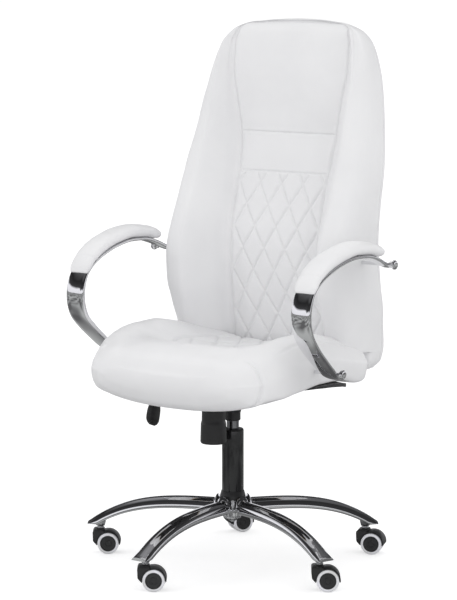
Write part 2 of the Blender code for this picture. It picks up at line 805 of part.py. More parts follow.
def build_seat():
    board_top = BOARD_BOTTOM + BOARD_THICKNESS
    low, high = (-0.165, -0.210, BOARD_BOTTOM), (0.165, 0.158, board_top)
    board = box_mesh("seat_board", low, high)
    add_node("seat_board", board, "plywood")
    rings = [seat_ring(row[0]) for row in SEAT]
    cushion = add_node("seat_cushion", loft_mesh("seat_cushion", rings), "white_leatherette")
    room = box_mesh(
        "board_room",
        (low[0] - GAP, low[1] - GAP, 0.380),
        (high[0] + GAP, high[1] + GAP, board_top + GAP),
    )
    boolean(cushion, room)
    # room for the foot of the back bracket
    half = BRACKET_HALF_WIDTH + GAP
    bracket_room = box_mesh("bracket_room", (-half, 0.040, board_top - 0.001), (half, 0.200, board_top + 0.0050))
    boolean(cushion, bracket_room)


def build_under_cover():
    """The black dust cover under the seat, whose drooping sides show below the upholstery."""
    # (distance along the seat, half width, rise of the top and of the underside at the side edge)
    rows = (
        (-0.200, 0.158, 0.0, 0.0),
        (-0.040, 0.164, 0.0, 0.0),
        (-0.022, 0.205, 0.0025, 0.0020),
        (0.004, 0.236, 0.0075, 0.0060),
        (0.040, 0.244, 0.0090, 0.0050),
        (0.080, 0.246, 0.0070, 0.0015),
        (0.108, 0.238, 0.0022, -0.0010),
        (0.126, 0.205, -0.0006, -0.0012),
        (0.136, 0.164, 0.0, 0.0),
        (0.150, 0.158, 0.0, 0.0),
    )
    top = BOARD_BOTTOM - GAP
    bottom = top - COVER_THICKNESS
    rings = []
    for y, half, top_rise, bottom_rise in rows:
        shoulder = min(half * 0.99, 0.168)  # flat under the board, turned up beyond it
        section = [(half, top + top_rise), (half, bottom + bottom_rise), (shoulder, bottom), (0.0, bottom)]
        section += [(-shoulder, bottom), (-half, bottom + bottom_rise), (-half, top + top_rise)]
        section += [(-shoulder, top), (0.0, top), (shoulder, top)]
        rings.append([Vector((x, y, z)) for x, z in section])
    cover = add_node("seat_under_cover", loft_mesh("seat_under_cover", rings), "black_cloth")
    boolean(cover, box_mesh("plate_room", (-0.0590, -0.1135, top - 0.02), (0.0590, 0.0915, top + 0.01)))


# ---------------------------------------------------------------- back

# height, half width, front of the side bolster, front of the middle panel, rear, half width of the panel
BACK = [
    (0.443, 0.226, 0.200, 0.202, 0.262, 0.125),
    (0.456, 0.236, 0.186, 0.190, 0.274, 0.129),
    (0.490, 0.243, 0.184, 0.188, 0.278, 0.131),
    (0.526, 0.246, 0.184, 0.188, 0.274, 0.130),
    (0.531, 0.247, 0.130, 0.187, 0.273, 0.130),
    (0.538, 0.248, 0.101, 0.185, 0.272, 0.129),
    (0.560, 0.249, 0.082, 0.180, 0.269, 0.128),
    (0.587, 0.250, 0.070, 0.174, 0.266, 0.127),
    (0.627, 0.251, 0.058, 0.167, 0.257, 0.125),
    (0.684, 0.252, 0.054, 0.163, 0.246, 0.124),
    (0.731, 0.252, 0.060, 0.165, 0.242, 0.124),
    (0.777, 0.252, 0.076, 0.171, 0.245, 0.124),
    (0.827, 0.251, 0.098, 0.183, 0.253, 0.124),
    (0.873, 0.250, 0.117, 0.197, 0.263, 0.125),
    (0.923, 0.246, 0.134, 0.212, 0.275, 0.129),
    (0.976, 0.240, 0.152, 0.221, 0.285, 0.134),
    (1.056, 0.229, 0.173, 0.221, 0.297, 0.147),
    (1.130, 0.215, 0.190, 0.225, 0.303, 0.160),
    (1.184, 0.197, 0.206, 0.231, 0.301, 0.165),
    (1.207, 0.180, 0.217, 0.236, 0.295, 0.158),
    (1.220, 0.160, 0.226, 0.241, 0.289, 0.145),
    (1.230, 0.126, 0.236, 0.247, 0.281, 0.120),
    (1.2355, 0.075, 0.243, 0.251, 0.273, 0.072),
]
COVER_DEPTH = 0.030  # the rear upholstery panel
BACK_BOARD_DEPTH = 0.012


def split_y(z):
    """Where the front cushion meets the rear panel."""
    rear = between(BACK, z)[3]
    return rear - COVER_DEPTH


def back_front_ring(z):
    half, bolster, panel, _, seam = between(BACK, z)
    rear = split_y(z) - GAP
    bolster = min(bolster, rear - 0.012)
    panel = min(panel, rear - 0.006)
    crest = seam + 0.62 * (half - seam)
    right = [
        (0.0, panel),
        (seam * 0.6, panel - 0.0008),
        (seam, panel - 0.002),
        (seam + 0.35 * (crest - seam), panel + 0.45 * (bolster - panel)),
        (seam + 0.75 * (crest - seam), bolster + 0.12 * (panel - bolster)),
        (crest, bolster),
        (half - min(0.012, 0.30 * (half - seam)), bolster + min(0.0112, 0.24 * (rear - bolster))),
        (half, bolster + 0.35 * (rear - bolster)),
        (half, bolster + 0.75 * (rear - bolster)),
        (half - 0.002, rear),
    ]
    left = [(-x, y) for x, y in reversed(right[1:])]
    return [Vector((x, y, z)) for x, y in right + left]


def back_rear_ring(z):
    half, _, _, rear, _ = between(BACK, z)
    front = split_y(z)
    right = [
        (0.0, rear),
        (half * 0.55, rear - 0.001),
        (half * 0.84, rear - 0.006),
        (half - 0.008, front + 0.45 * (rear - front)),
        (half - 0.002, front + GAP),
    ]
    left = [(-x, y) for x, y in reversed(right[1:])]
    ring = [Vector((x, y, z)) for x, y in right + left]
    return list(reversed(ring))


def build_back():
    heights = [row[0] for row in BACK]
    cushion = add_node(
        "back_cushion", loft_mesh("back_cushion", [back_front_ring(z) for z in heights]), "white_leatherette"
    )
    add_node("back_rear_panel", loft_mesh("back_rear_panel", [back_rear_ring(z) for z in heights]), "white_leatherette")

    def board_rings(grow):
        rings = []
        low, high = 0.475, 1.185
        for k in range(15):
            z = low + (high - low) * k / 14
            edge = -grow if k == 0 else grow if k == 14 else 0.0
            half = between(BACK, z)[0] - 0.045 + grow
            rear = split_y(z)
            front = rear - 0.003 - BACK_BOARD_DEPTH - grow
            back = rear - 0.003 + (0.008 if grow else 0.0)
            corners = ((-half, front), (half, front), (half, back), (-half, back))
            rings.append([Vector((x, y, z + edge)) for x, y in corners])
        return rings

    add_node("back_board", loft_mesh("back_board", board_rings(0.0), 20), "plywood")
    boolean(cushion, loft_mesh("board_room", board_rings(GAP), 20))
    # the bracket stands in a slot from behind, and its bent foot comes in below
    half_slot = BRACKET_HALF_WIDTH + GAP
    slot_front = BRACKET_REAR_Y - BRACKET_THICKNESS - 0.0005
    slot_rear = BRACKET_REAR_Y + 0.005
    slot_top = BRACKET_TOP + 0.0005
    boolean(cushion, box_mesh("bracket_slot", (-half_slot, slot_front, 0.4300), (half_slot, slot_rear, slot_top)))
    boolean(cushion, box_mesh("foot_slot", (-half_slot, 0.1790, 0.4300), (half_slot, slot_rear, 0.4600)))


def build_bracket():
    """The bent steel strap that joins the seat board to the back board."""
    foot = BOARD_BOTTOM + BOARD_THICKNESS + GAP
    rear, front = BRACKET_REAR_Y, BRACKET_REAR_Y - BRACKET_THICKNESS
    outline = [
        (0.050, foot),
        (0.196, foot),
        (rear, foot + 0.0200),
        (rear, BRACKET_TOP),
        (front, BRACKET_TOP),
        (front, foot + 0.0220),
        (0.194, foot + BRACKET_THICKNESS),
        (0.050, foot + BRACKET_THICKNESS),
    ]
    add_node("back_bracket", side_plate_mesh("back_bracket", outline, BRACKET_HALF_WIDTH), "black_steel")


# ---------------------------------------------------------------- arms

ARM_PATH = [
    (0.296, -0.018, 0.4610, 0.0150, 0.0045),
    (0.300, -0.034, 0.4640, 0.0185, 0.0050),
    (0.304, -0.056, 0.4730, 0.0215, 0.0060),
    (0.307, -0.081, 0.4900, 0.0235, 0.0070),
    (0.309, -0.110, 0.5130, 0.0245, 0.0078),
    (0.311, -0.142, 0.5400, 0.0250, 0.0085),
    (ARM_X, -0.167, 0.5670, 0.0250, 0.0090),
    (ARM_X, -0.178, 0.5930, 0.0250, 0.0092),
    (ARM_X, -0.180, 0.6140, 0.0250, 0.0092),
    (ARM_X, -0.176, 0.6400, 0.0250, 0.0088),
    (ARM_X, -0.164, 0.6640, 0.0245, 0.0075),
    (ARM_X, -0.137, 0.6860, 0.0240, 0.0060),
    (ARM_X, -0.100, 0.7030, 0.0235, 0.0052),
    (ARM_X, -0.050, 0.7180, 0.0230, 0.0050),
    (ARM_X, 0.010, 0.7260, 0.0225, 0.0050),
    (0.3125, 0.060, 0.7240, 0.0210, 0.0050),
    (0.312, 0.105, 0.7130, 0.0180, 0.0050),
    (0.311, 0.140, 0.7000, 0.0150, 0.0050),
    (0.311, 0.160, 0.6930, 0.0130, 0.0045),
]
PAD_PATH = [
    (ARM_X, -0.1680, 0.6660, 0.0240, 0.0060),
    (ARM_X, -0.1625, 0.6760, 0.0275, 0.0090),
    (ARM_X, -0.1440, 0.6960, 0.0292, 0.0118),
    (ARM_X, -0.1100, 0.7170, 0.0300, 0.0138),
    (ARM_X, -0.0560, 0.7350, 0.0300, 0.0148),
    (ARM_X, 0.0100, 0.7450, 0.0300, 0.0155),
    (ARM_X, 0.0660, 0.7410, 0.0295, 0.0150),
    (ARM_X, 0.1020, 0.7325, 0.0285, 0.0140),
    (ARM_X, 0.1220, 0.7265, 0.0260, 0.0110),
]


def build_arms():
    def bar_section(half_width, half_thick):
        return oval(half_width, half_thick, 10, 2.6)

    def pad_section(half_width, half_thick):
        return oval(half_width, half_thick, 12, 2.4)

    bar = loft_mesh("arm", bar_rings(ARM_PATH, 30, bar_section))
    grown = [(x, y, z, half_width + GAP, half_thick + GAP) for x, y, z, half_width, half_thick in ARM_PATH]
    channel = loft_mesh("pad_channel", bar_rings(grown, 30, bar_section))
    pad = loft_mesh("arm_pad", bar_rings(PAD_PATH, 13, pad_section))
    for side, sign in (("left", 1), ("right", -1)):
        arm = add_node("arm_" + side, bar if sign > 0 else mirrored(bar, "arm_right"), "chrome")
        for end, place in ARM_BOLTS.items():
            y, z, cap_x = place["y"], place["z"], place["cap_x"]
            neck = 0.0090 + place["neck"]
            length = cap_x - place["end_x"]
            profile = [(0.0, 0.0), (0.0075, 0.0), (0.0105, -0.0020), (0.0105, -0.0070), (0.0070, -0.0090)]
            profile += [(0.0070, -neck), (ARM_BOLT_RADIUS, -neck), (ARM_BOLT_RADIUS, -length), (0.0, -length)]
            add_node(
                f"arm_bolt_{end}_{side}",
                turned_mesh("arm_bolt", profile, SMALL_SIDES),
                "chrome",
                location=(sign * cap_x, y, z),
                rotation=(0, sign * math.pi / 2, 0),
            )
            near, far = (sign * (place["end_x"] - 0.001), y, z), (sign * 0.38, y, z)
            hole = rod_mesh("arm_hole", ARM_BOLT_RADIUS + GAP, near, far, SMALL_SIDES)
            boolean(arm, hole)
            boolean(bpy.data.objects["seat_cushion" if end == "front" else "back_cushion"], hole)
        cushion = add_node(
            "arm_pad_" + side, pad if sign > 0 else mirrored(pad, "arm_pad_right"), "white_leatherette"
        )
        boolean(cushion, channel if sign > 0 else mirrored(channel, "pad_channel_right"))


# ---------------------------------------------------------------- the whole chair

leg_axes = build_legs()
build_hub()
build_gas_lift()
build_tray()
build_tension()
build_tilt_frame()
build_lever()
build_casters(leg_axes)
build_seat()
build_under_cover()
build_back()
build_bracket()
build_arms()
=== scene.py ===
"""High-back swivel chair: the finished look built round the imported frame.

Metres, +Z up, the sitter faces -Y. Tables are measured from the column's axis, and every mesh is then
moved to where the frame's own column stands.
"""

import math

import bmesh
import bpy
import numpy as np
from mathutils import Matrix, Vector, noise


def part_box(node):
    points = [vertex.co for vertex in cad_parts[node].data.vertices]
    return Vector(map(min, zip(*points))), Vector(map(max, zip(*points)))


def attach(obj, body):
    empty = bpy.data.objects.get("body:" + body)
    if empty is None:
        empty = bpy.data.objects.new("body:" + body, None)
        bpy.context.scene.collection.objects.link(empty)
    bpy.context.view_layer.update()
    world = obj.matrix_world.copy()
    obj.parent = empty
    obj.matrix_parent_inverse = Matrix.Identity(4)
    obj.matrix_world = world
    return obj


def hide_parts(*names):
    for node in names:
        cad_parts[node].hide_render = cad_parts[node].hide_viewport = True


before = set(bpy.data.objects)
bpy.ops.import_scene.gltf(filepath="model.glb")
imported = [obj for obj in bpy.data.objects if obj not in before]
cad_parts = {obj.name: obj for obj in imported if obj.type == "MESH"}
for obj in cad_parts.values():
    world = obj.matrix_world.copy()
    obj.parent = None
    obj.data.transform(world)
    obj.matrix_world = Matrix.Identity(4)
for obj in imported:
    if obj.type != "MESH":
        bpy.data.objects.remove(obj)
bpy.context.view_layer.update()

# ---------------------------------------------------------------- driving dimensions

COLUMN = (Vector(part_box("lift_cylinder")[0]) + Vector(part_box("lift_cylinder")[1])) / 2
COLUMN.z = 0.0
GAP = 0.0003  # room left between parts that touch
SIDES = ("front", "front_left", "rear_left", "rear_right", "front_right")
CASTER_TURNS = {"front": 36, "front_left": 36, "rear_left": 22, "rear_right": 58, "front_right": 36}
STEM_CIRCLE = 0.325  # radius on which the casters' stems stand
CASTER_TRAIL = 0.018
WHEEL_RADIUS = 0.025
WHEEL_INNER = 0.0055
WHEEL_OUTER = 0.0240
LEG_LENGTH = 0.350
LEG_TOP = 0.150
LEG_DROP = 0.0735  # how far a leg's arch comes down over its length
LEG_CURVE = 3.6  # and how late it does so
LEG_FOOT_Z = 0.0690
ARM_X = 0.313
BRACKET_HALF = 0.0553  # room for half the width of the back's bracket
BOARD_BOTTOM = 0.4240  # the board inside the seat
BOARD_TOP = 0.4340
QUILT_WIDE = 0.060  # one diamond across
QUILT_HIGH = 0.101  # and along
QUILT_PITCH = QUILT_WIDE * QUILT_HIGH / math.hypot(QUILT_WIDE, QUILT_HIGH)
QUILT_CREASE = 0.0030  # half width of a stitched crease
QUILT_Z = 0.860  # a crossing of the quilting on the back's middle line
QUILT_Y = 0.110  # and one on the seat's
# the seams, each with its depth and the half width of its valley
PANEL_SEAM = (0.0034, 0.0032)
BOLSTER_SEAM = (0.0024, 0.0026)
CORNER_SEAM = (0.0038, 0.0026)
BACK_SEAM = (0.0026, 0.0023)
CROSS_SEAM = (0.0018, 0.0021)
REAR_SEAM = (0.0020, 0.0026)
PAD_SEAM = (0.0014, 0.0022)

# ---------------------------------------------------------------- materials


class Nodes:
    """Short-hand for a material's node tree."""

    def __init__(self, name, colour, roughness, metallic=0.0, **sockets):
        self.material = bpy.data.materials.new(name)
        self.material.use_nodes = True
        self.tree = self.material.node_tree
        self.shader = self.tree.nodes["Principled BSDF"]
        self.shader.inputs["Base Color"].default_value = (*colour, 1.0)
        self.shader.inputs["Roughness"].default_value = roughness
        self.shader.inputs["Metallic"].default_value = metallic
        for socket, value in sockets.items():
            self.shader.inputs[socket.replace("_", " ")].default_value = value
        self.place = self.tree.nodes.new("ShaderNodeTexCoord").outputs["Object"]
        self.height = None

    def link(self, source, target):
        self.tree.links.new(source, target)

    def noise(self, scale, detail=3.0, stretch=(1, 1, 1)):
        mapping = self.tree.nodes.new("ShaderNodeMapping")
        mapping.inputs["Scale"].default_value = stretch
        self.link(self.place, mapping.inputs["Vector"])
        node = self.tree.nodes.new("ShaderNodeTexNoise")
        node.inputs["Scale"].default_value = scale
        node.inputs["Detail"].default_value = detail
        self.link(mapping.outputs["Vector"], node.inputs["Vector"])
        return node.outputs["Fac"]

    def cells(self, scale):
        node = self.tree.nodes.new("ShaderNodeTexVoronoi")
        node.inputs["Scale"].default_value = scale
        self.link(self.place, node.inputs["Vector"])
        return node.outputs["Distance"]

    def ramp(self, source, low, high, at=(0.0, 1.0)):
        node = self.tree.nodes.new("ShaderNodeValToRGB")
        for element, position, colour in zip(node.color_ramp.elements, at, (low, high)):
            element.position = position
            element.color = (*colour, 1.0)
        self.link(source, node.inputs["Fac"])
        return node.outputs["Color"]

    def colour(self, source, low, high, at=(0.3, 0.7)):
        self.link(self.ramp(source, low, high, at), self.shader.inputs["Base Color"])

    def rough(self, source, low, high, at=(0.3, 0.7)):
        grey = self.ramp(source, (low, low, low), (high, high, high), at)
        self.link(grey, self.shader.inputs["Roughness"])

    def bump(self, source, strength, distance):
        """Adds a bump on top of those already there."""
        node = self.tree.nodes.new("ShaderNodeBump")
        node.inputs["Strength"].default_value = strength
        node.inputs["Distance"].default_value = distance
        self.link(source, node.inputs["Height"])
        if self.height:
            self.link(self.height, node.inputs["Normal"])
        self.height = node.outputs["Normal"]
        self.link(self.height, self.shader.inputs["Normal"])


def leatherette():
    made = Nodes("white_leatherette", (0.80, 0.80, 0.815), 0.42, Coat_Weight=0.12, Coat_Roughness=0.30)
    made.colour(made.noise(7.0, 4.0), (0.800, 0.800, 0.812), (0.835, 0.835, 0.845))
    made.rough(made.noise(60.0, 3.0), 0.38, 0.48)
    made.bump(made.cells(620.0), 0.22, 0.0004)
    made.bump(made.noise(150.0, 4.0), 0.10, 0.0006)
    made.bump(made.noise(14.0, 3.0), 0.10, 0.003)
    return made.material


def chrome():
    made = Nodes("polished_chrome", (0.80, 0.80, 0.815), 0.05, 1.0)
    made.rough(made.noise(45.0, 4.0), 0.035, 0.075)
    made.bump(made.noise(9.0, 2.0), 0.05, 0.001)
    return made.material


def dark_chrome():
    made = Nodes("ground_piston", (0.30, 0.30, 0.315), 0.14, 1.0)
    made.rough(made.noise(90.0, 3.0, (1, 1, 40)), 0.10, 0.19)
    return made.material


def gloss_black():
    made = Nodes("gloss_enamel", (0.010, 0.010, 0.011), 0.16, 0.0, Coat_Weight=0.5, Coat_Roughness=0.06)
    made.rough(made.noise(120.0, 4.0), 0.13, 0.22)
    made.bump(made.noise(220.0, 2.0), 0.06, 0.0004)
    return made.material


def moulded(name, shade, roughness, grain):
    made = Nodes(name, (shade, shade, shade * 1.08), roughness)
    made.colour(made.noise(30.0), (shade * 0.9,) * 3, (shade * 1.12, shade * 1.12, shade * 1.2))
    made.rough(made.noise(90.0, 3.0), roughness - 0.05, roughness + 0.06)
    made.bump(made.noise(grain, 3.0), 0.16, 0.0003)
    return made.material


def powder_coat():
    made = Nodes("powder_coat", (0.022, 0.022, 0.024), 0.45, 0.0)
    made.rough(made.noise(200.0), 0.38, 0.52)
    made.bump(made.cells(900.0), 0.20, 0.0003)
    return made.material


def bright_steel():
    made = Nodes("zinc_steel", (0.62, 0.62, 0.64), 0.26, 1.0)
    made.rough(made.noise(140.0, 4.0), 0.20, 0.36)
    made.bump(made.noise(300.0, 2.0, (1, 1, 12)), 0.08, 0.0002)
    return made.material


def dust_cloth():
    made = Nodes("dust_cloth", (0.022, 0.022, 0.024), 0.92, 0.0, Sheen_Weight=0.25, Sheen_Roughness=0.5)
    made.colour(made.noise(500.0, 2.0), (0.014, 0.014, 0.015), (0.032, 0.032, 0.035))
    made.bump(made.noise(800.0, 2.0), 0.5, 0.0006)
    return made.material


def birch_ply():
    made = Nodes("birch_ply", (0.60, 0.44, 0.26), 0.62)
    made.colour(made.noise(6.0, 6.0, (1, 14, 30)), (0.50, 0.35, 0.19), (0.68, 0.51, 0.32))
    made.bump(made.noise(40.0, 5.0, (1, 10, 20)), 0.2, 0.0005)
    return made.material


def stage_white():
    """Paper lit from below: nearly white to the eye, but it throws only a little light back up."""
    made = Nodes("paper_floor", (0.55, 0.55, 0.555), 1.0, Specular_IOR_Level=0.0)
    made.shader.inputs["Emission Color"].default_value = (1.0, 1.0, 1.0, 1.0)
    path = made.tree.nodes.new("ShaderNodeLightPath")
    glow = made.ramp(path.outputs["Is Camera Ray"], (0.0, 0.0, 0.0), (0.50, 0.50, 0.50))
    made.link(glow, made.shader.inputs["Emission Strength"])
    # painted shade in reflections: to glossy rays the floor is darker and patchy, as if shaded under a
    # studio's stands
    painted_reflection_shade = made.ramp(made.noise(0.9, 1.0), (0.12, 0.12, 0.122), (0.44, 0.45, 0.445), (0.40, 0.60))
    mirrored = made.tree.nodes.new("ShaderNodeMix")
    mirrored.data_type = "RGBA"
    mirrored.inputs[6].default_value = (0.66, 0.66, 0.665, 1.0)
    made.link(path.outputs["Is Glossy Ray"], mirrored.inputs[0])
    made.link(painted_reflection_shade, mirrored.inputs[7])
    made.link(mirrored.outputs[2], made.shader.inputs["Base Color"])
    made.bump(made.noise(40.0), 0.05, 0.001)
    return made.material


LEATHER = leatherette()
CHROME = chrome()
PISTON = dark_chrome()
GLOSS = gloss_black()
PLASTIC = moulded("satin_black_plastic", 0.020, 0.40, 500.0)
HUB_PLASTIC = moulded("charcoal_hub", 0.030, 0.46, 420.0)
TREAD = moulded("pale_tread", 0.74, 0.50, 350.0)
COAT = powder_coat()
STEEL = bright_steel()
CLOTH = dust_cloth()
PLY = birch_ply()

for node, finish in (
    ("tilt_tray", COAT),
    ("seat_plate", COAT),
    ("back_bracket", COAT),
    ("seat_board", PLY),
    ("back_board", PLY),
    ("tension_spring", STEEL),
    ("tilt_pin", STEEL),
    ("lift_rod", STEEL),
    ("lift_retaining_clip", STEEL),
    ("lever_bush", PLASTIC),
    *(("caster_axle_" + side, STEEL) for side in SIDES),
):
    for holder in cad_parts[node].material_slots:
        holder.material = finish

# ---------------------------------------------------------------- mesh tools


def piece(name, mesh, body, material, replaced=(), smooth_angle=None):
    """Puts a mesh measured from the column into the scene as a piece that rides on a body."""
    mesh.transform(Matrix.Translation(COLUMN))
    mesh.materials.clear()
    mesh.materials.append(material)
    mesh.shade_smooth()
    if smooth_angle:
        mesh.set_sharp_from_angle(angle=math.radians(smooth_angle))
    made = bpy.data.objects.new(name, mesh)
    bpy.context.scene.collection.objects.link(made)
    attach(made, body)
    if replaced:
        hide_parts(*replaced)
    return made


def mesh_of(bm, name):
    bmesh.ops.recalc_face_normals(bm, faces=bm.faces)
    mesh = bpy.data.meshes.new(name)
    bm.to_mesh(mesh)
    bm.free()
    return mesh


def loft(name, rings, closed=True):
    """Closed rings joined in order, with a centre point at each end when closed."""
    count = len(rings[0])
    points = [point for ring in rings for point in ring]
    faces = []
    for k in range(len(rings) - 1):
        a, b = k * count, (k + 1) * count
        for i in range(count):
            j = (i + 1) % count
            faces.append((a + i, a + j, b + j, b + i))
    if closed:
        for base in (0, (len(rings) - 1) * count):
            middle = sum((Vector(points[base + i]) for i in range(count)), Vector()) / count
            points.append(middle)
            centre = len(points) - 1
            for i in range(count):
                faces.append((centre, base + i, base + (i + 1) % count))
    mesh = bpy.data.meshes.new(name)
    mesh.from_pydata([tuple(p) for p in points], [], faces)
    bm = bmesh.new()
    bm.from_mesh(mesh)
    bmesh.ops.remove_doubles(bm, verts=bm.verts, dist=0.000001)
    bmesh.ops.recalc_face_normals(bm, faces=bm.faces)
    bm.to_mesh(mesh)
    bm.free()
    return mesh


def join_rings(name, rings):
    """Rings joined in order and the last to the first, for a turned ring."""
    return loft(name, [*rings, rings[0]], closed=False)


def turned(name, profile, steps=72, ring=False, radius=0.0006):
    """A profile of (radius, height) points turned about Z, its corners rounded a little."""
    rounded = round_corners(profile, radius, closed=ring)
    angles = [2 * math.pi * i / steps for i in range(steps)]
    rings = [[(r * math.cos(angle), r * math.sin(angle), z) for angle in angles] for r, z in rounded]
    return join_rings(name, rings) if ring else loft(name, rings, closed=False)


def round_corners(points, radius, closed=True, steps=3):
    """A polyline with each corner swapped for a short arc."""
    made = []
    last = len(points) - 1
    for i, here in enumerate(points):
        if not closed and i in (0, last):
            made.append(tuple(here))
            continue
        here = Vector(here)
        before, after = Vector(points[i - 1]), Vector(points[(i + 1) % len(points)])
        back, on = before - here, after - here
        cut = min(radius, back.length * 0.45, on.length * 0.45)
        start, end = here + back.normalized() * cut, here + on.normalized() * cut
        for k in range(steps + 1):
            t = k / steps
            made.append(tuple(start * (1 - t) ** 2 + here * 2 * t * (1 - t) + end * t**2))
    return made


def extruded(name, outline, half_depth, edge=0.0012):
    """An outline of (x, z) points, extruded both ways along Y with eased edges."""
    rings = []
    middle = Vector((sum(p[0] for p in outline), sum(p[1] for p in outline))) / len(outline)
    for turned_in, set_back in ((1.0, 0.0), (0.35, 0.3), (0.0, 1.0)):
        inset, depth = edge * turned_in, half_depth - edge * set_back
        ring = []
        for i, here in enumerate(outline):
            before, after = Vector(outline[i - 1]), Vector(outline[(i + 1) % len(outline)])
            along = (after - before).normalized()
            normal = Vector((along.y, -along.x))
            if normal.dot(Vector(here) - middle) < 0:
                normal = -normal
            x, z = Vector(here) - normal * inset
            ring.append((x, depth, z))
        rings.append(ring)
    rings += [[(x, -y, z) for x, y, z in ring] for ring in reversed(rings)]
    bm = bmesh.new()
    loops = [[bm.verts.new(point) for point in ring] for ring in rings]
    for near, far in zip(loops, loops[1:]):
        for i in range(len(near)):
            j = (i + 1) % len(near)
            bm.faces.new((near[i], near[j], far[j], far[i]))
    bm.faces.new(loops[0])
    bm.faces.new(reversed(loops[-1]))
    return mesh_of(bm, name)


def carved(mesh, cuts, joined=()):
    """A mesh with some others joined on and then some cut out of it."""
    body = bpy.data.objects.new("carving", mesh)
    bpy.context.scene.collection.objects.link(body)
    helpers = []
    for shape in (*joined, *cuts):
        helper = bpy.data.objects.new("carving_tool", shape)
        bpy.context.scene.collection.objects.link(helper)
        modifier = body.modifiers.new("carving", "BOOLEAN")
        modifier.operation = "UNION" if shape in joined else "DIFFERENCE"
        modifier.object = helper
        modifier.solver = "MANIFOLD"
        helpers.append(helper)
    bpy.context.view_layer.update()
    graph = bpy.context.evaluated_depsgraph_get()
    made = bpy.data.meshes.new_from_object(body.evaluated_get(graph))
    for helper in (body, *helpers):
        bpy.data.objects.remove(helper, do_unlink=True)
    return made


def rod(name, radius, start, end, sides=40):
    start, end = Vector(start), Vector(end)
    bm = bmesh.new()
    length = (end - start).length
    bmesh.ops.create_cone(bm, cap_ends=True, segments=sides, radius1=radius, radius2=radius, depth=length)
    turn = Vector((0, 0, 1)).rotation_difference(end - start).to_matrix().to_4x4()
    bmesh.ops.transform(bm, matrix=Matrix.Translation((start + end) / 2) @ turn, verts=bm.verts)
    return mesh_of(bm, name)


def steady_slope(rise_a, run_a, rise_b, run_b):
    """Slope of a smooth line at a point between two spans, which never overshoots either."""
    before, after = rise_a / run_a, rise_b / run_b
    if before * after <= 0:
        return 0.0
    blend = (rise_a + rise_b) / (run_a + run_b)
    return math.copysign(min(abs(blend), 3 * abs(before), 3 * abs(after)), blend)


def between(table, where):
    """Smooth values of a table of (place, value...) rows at a place, with no overshoot."""
    places = [row[0] for row in table]
    where = min(max(where, places[0]), places[-1])
    last = len(table) - 2
    i = min(max(k for k in range(len(table)) if places[k] <= where), last)
    span = places[i + 1] - places[i]
    t = (where - places[i]) / span
    values = []
    for column in range(1, len(table[0])):
        b, c = table[i][column], table[i + 1][column]
        slope = (c - b) / span
        enter = leave = slope
        if i > 0:
            enter = steady_slope(b - table[i - 1][column], places[i] - places[i - 1], c - b, span)
        if i < last:
            leave = steady_slope(c - b, span, table[i + 2][column] - c, places[i + 2] - places[i + 1])
        values.append(
            (2 * t**3 - 3 * t**2 + 1) * b
            + (t**3 - 2 * t**2 + t) * enter * span
            + (-2 * t**3 + 3 * t**2) * c
            + (t**3 - t**2) * leave * span
        )
    return values


def spline(points, splits, closed=False):
    """A smooth line through points; splits gives the places sampled in each span, 0 included, 1 not."""
    points = [Vector(point) for point in points]
    count = len(points)
    made = []
    for i in range(count if closed else count - 1):
        b, c = points[i], points[(i + 1) % count]
        a = points[i - 1] if (closed or i) else b * 2 - c
        d = points[(i + 2) % count] if (closed or i + 2 < count) else c * 2 - b
        for t in splits[i]:
            bend = (a * 2 - b * 5 + c * 4 - d) * t**2 + (b * 3 - a - c * 3 + d) * t**3
            made.append(0.5 * (b * 2 + (c - a) * t + bend))
    if not closed:
        made.append(points[-1])
    return made


def even(count):
    return [k / count for k in range(count)]


def oval(half_width, half_height, sides, squareness):
    points = []
    for i in range(sides):
        angle = 2 * math.pi * i / sides
        c, s = math.cos(angle), math.sin(angle)
        across = math.copysign(abs(c) ** (2 / squareness), c) * half_width
        up = math.copysign(abs(s) ** (2 / squareness), s) * half_height
        points.append((across, up))
    return points


def bar_rings(stations, count, sides, squareness):
    """Rings along a bar that bends in the YZ plane; its ends are drawn in to a rounded tip."""
    lengths = [0.0]
    for a, b in zip(stations, stations[1:]):
        lengths.append(lengths[-1] + (Vector(b[:3]) - Vector(a[:3])).length)
    table = [(length, *station) for length, station in zip(lengths, stations)]
    total = lengths[-1]
    rings = []
    for k in range(count + 1):
        place = total * k / count
        x, y, z, half_width, half_thick = between(table, place)
        back, ahead = between(table, place - 0.002), between(table, place + 0.002)
        along = Vector((0.0, ahead[1] - back[1], ahead[2] - back[2])).normalized()
        outward = Vector((0.0, -along.z, along.y))
        rings.append((Vector((x, y, z)), along, outward, half_width, half_thick))

    def section(ring, scale, out):
        centre, along, outward, half_width, half_thick = ring
        spot = centre + along * half_thick * 0.6 * out
        outline = oval(half_width, half_thick, sides, squareness)
        return [spot + Vector((a * scale, 0, 0)) + outward * u * scale for a, u in outline]

    tip = ((0.90, 0.35), (0.70, 0.70), (0.35, 0.95))
    made = [section(rings[0], scale, -out) for scale, out in reversed(tip)]
    made += [section(ring, 1.0, 0.0) for ring in rings]
    return made + [section(rings[-1], scale, out) for scale, out in tip]


def flipped(mesh, name):
    """The same mesh on the other side of the chair's middle plane."""
    other = mesh.copy()
    other.name = name
    other.transform(Matrix.Diagonal((-1, 1, 1, 1)))
    other.flip_normals()
    return other


def box_mesh(name, low, high):
    low, high = Vector(low), Vector(high)
    bm = bmesh.new()
    bmesh.ops.create_cube(bm, size=1.0)
    bmesh.ops.scale(bm, vec=high - low, verts=bm.verts)
    bmesh.ops.translate(bm, vec=(low + high) / 2, verts=bm.verts)
    return mesh_of(bm, name)


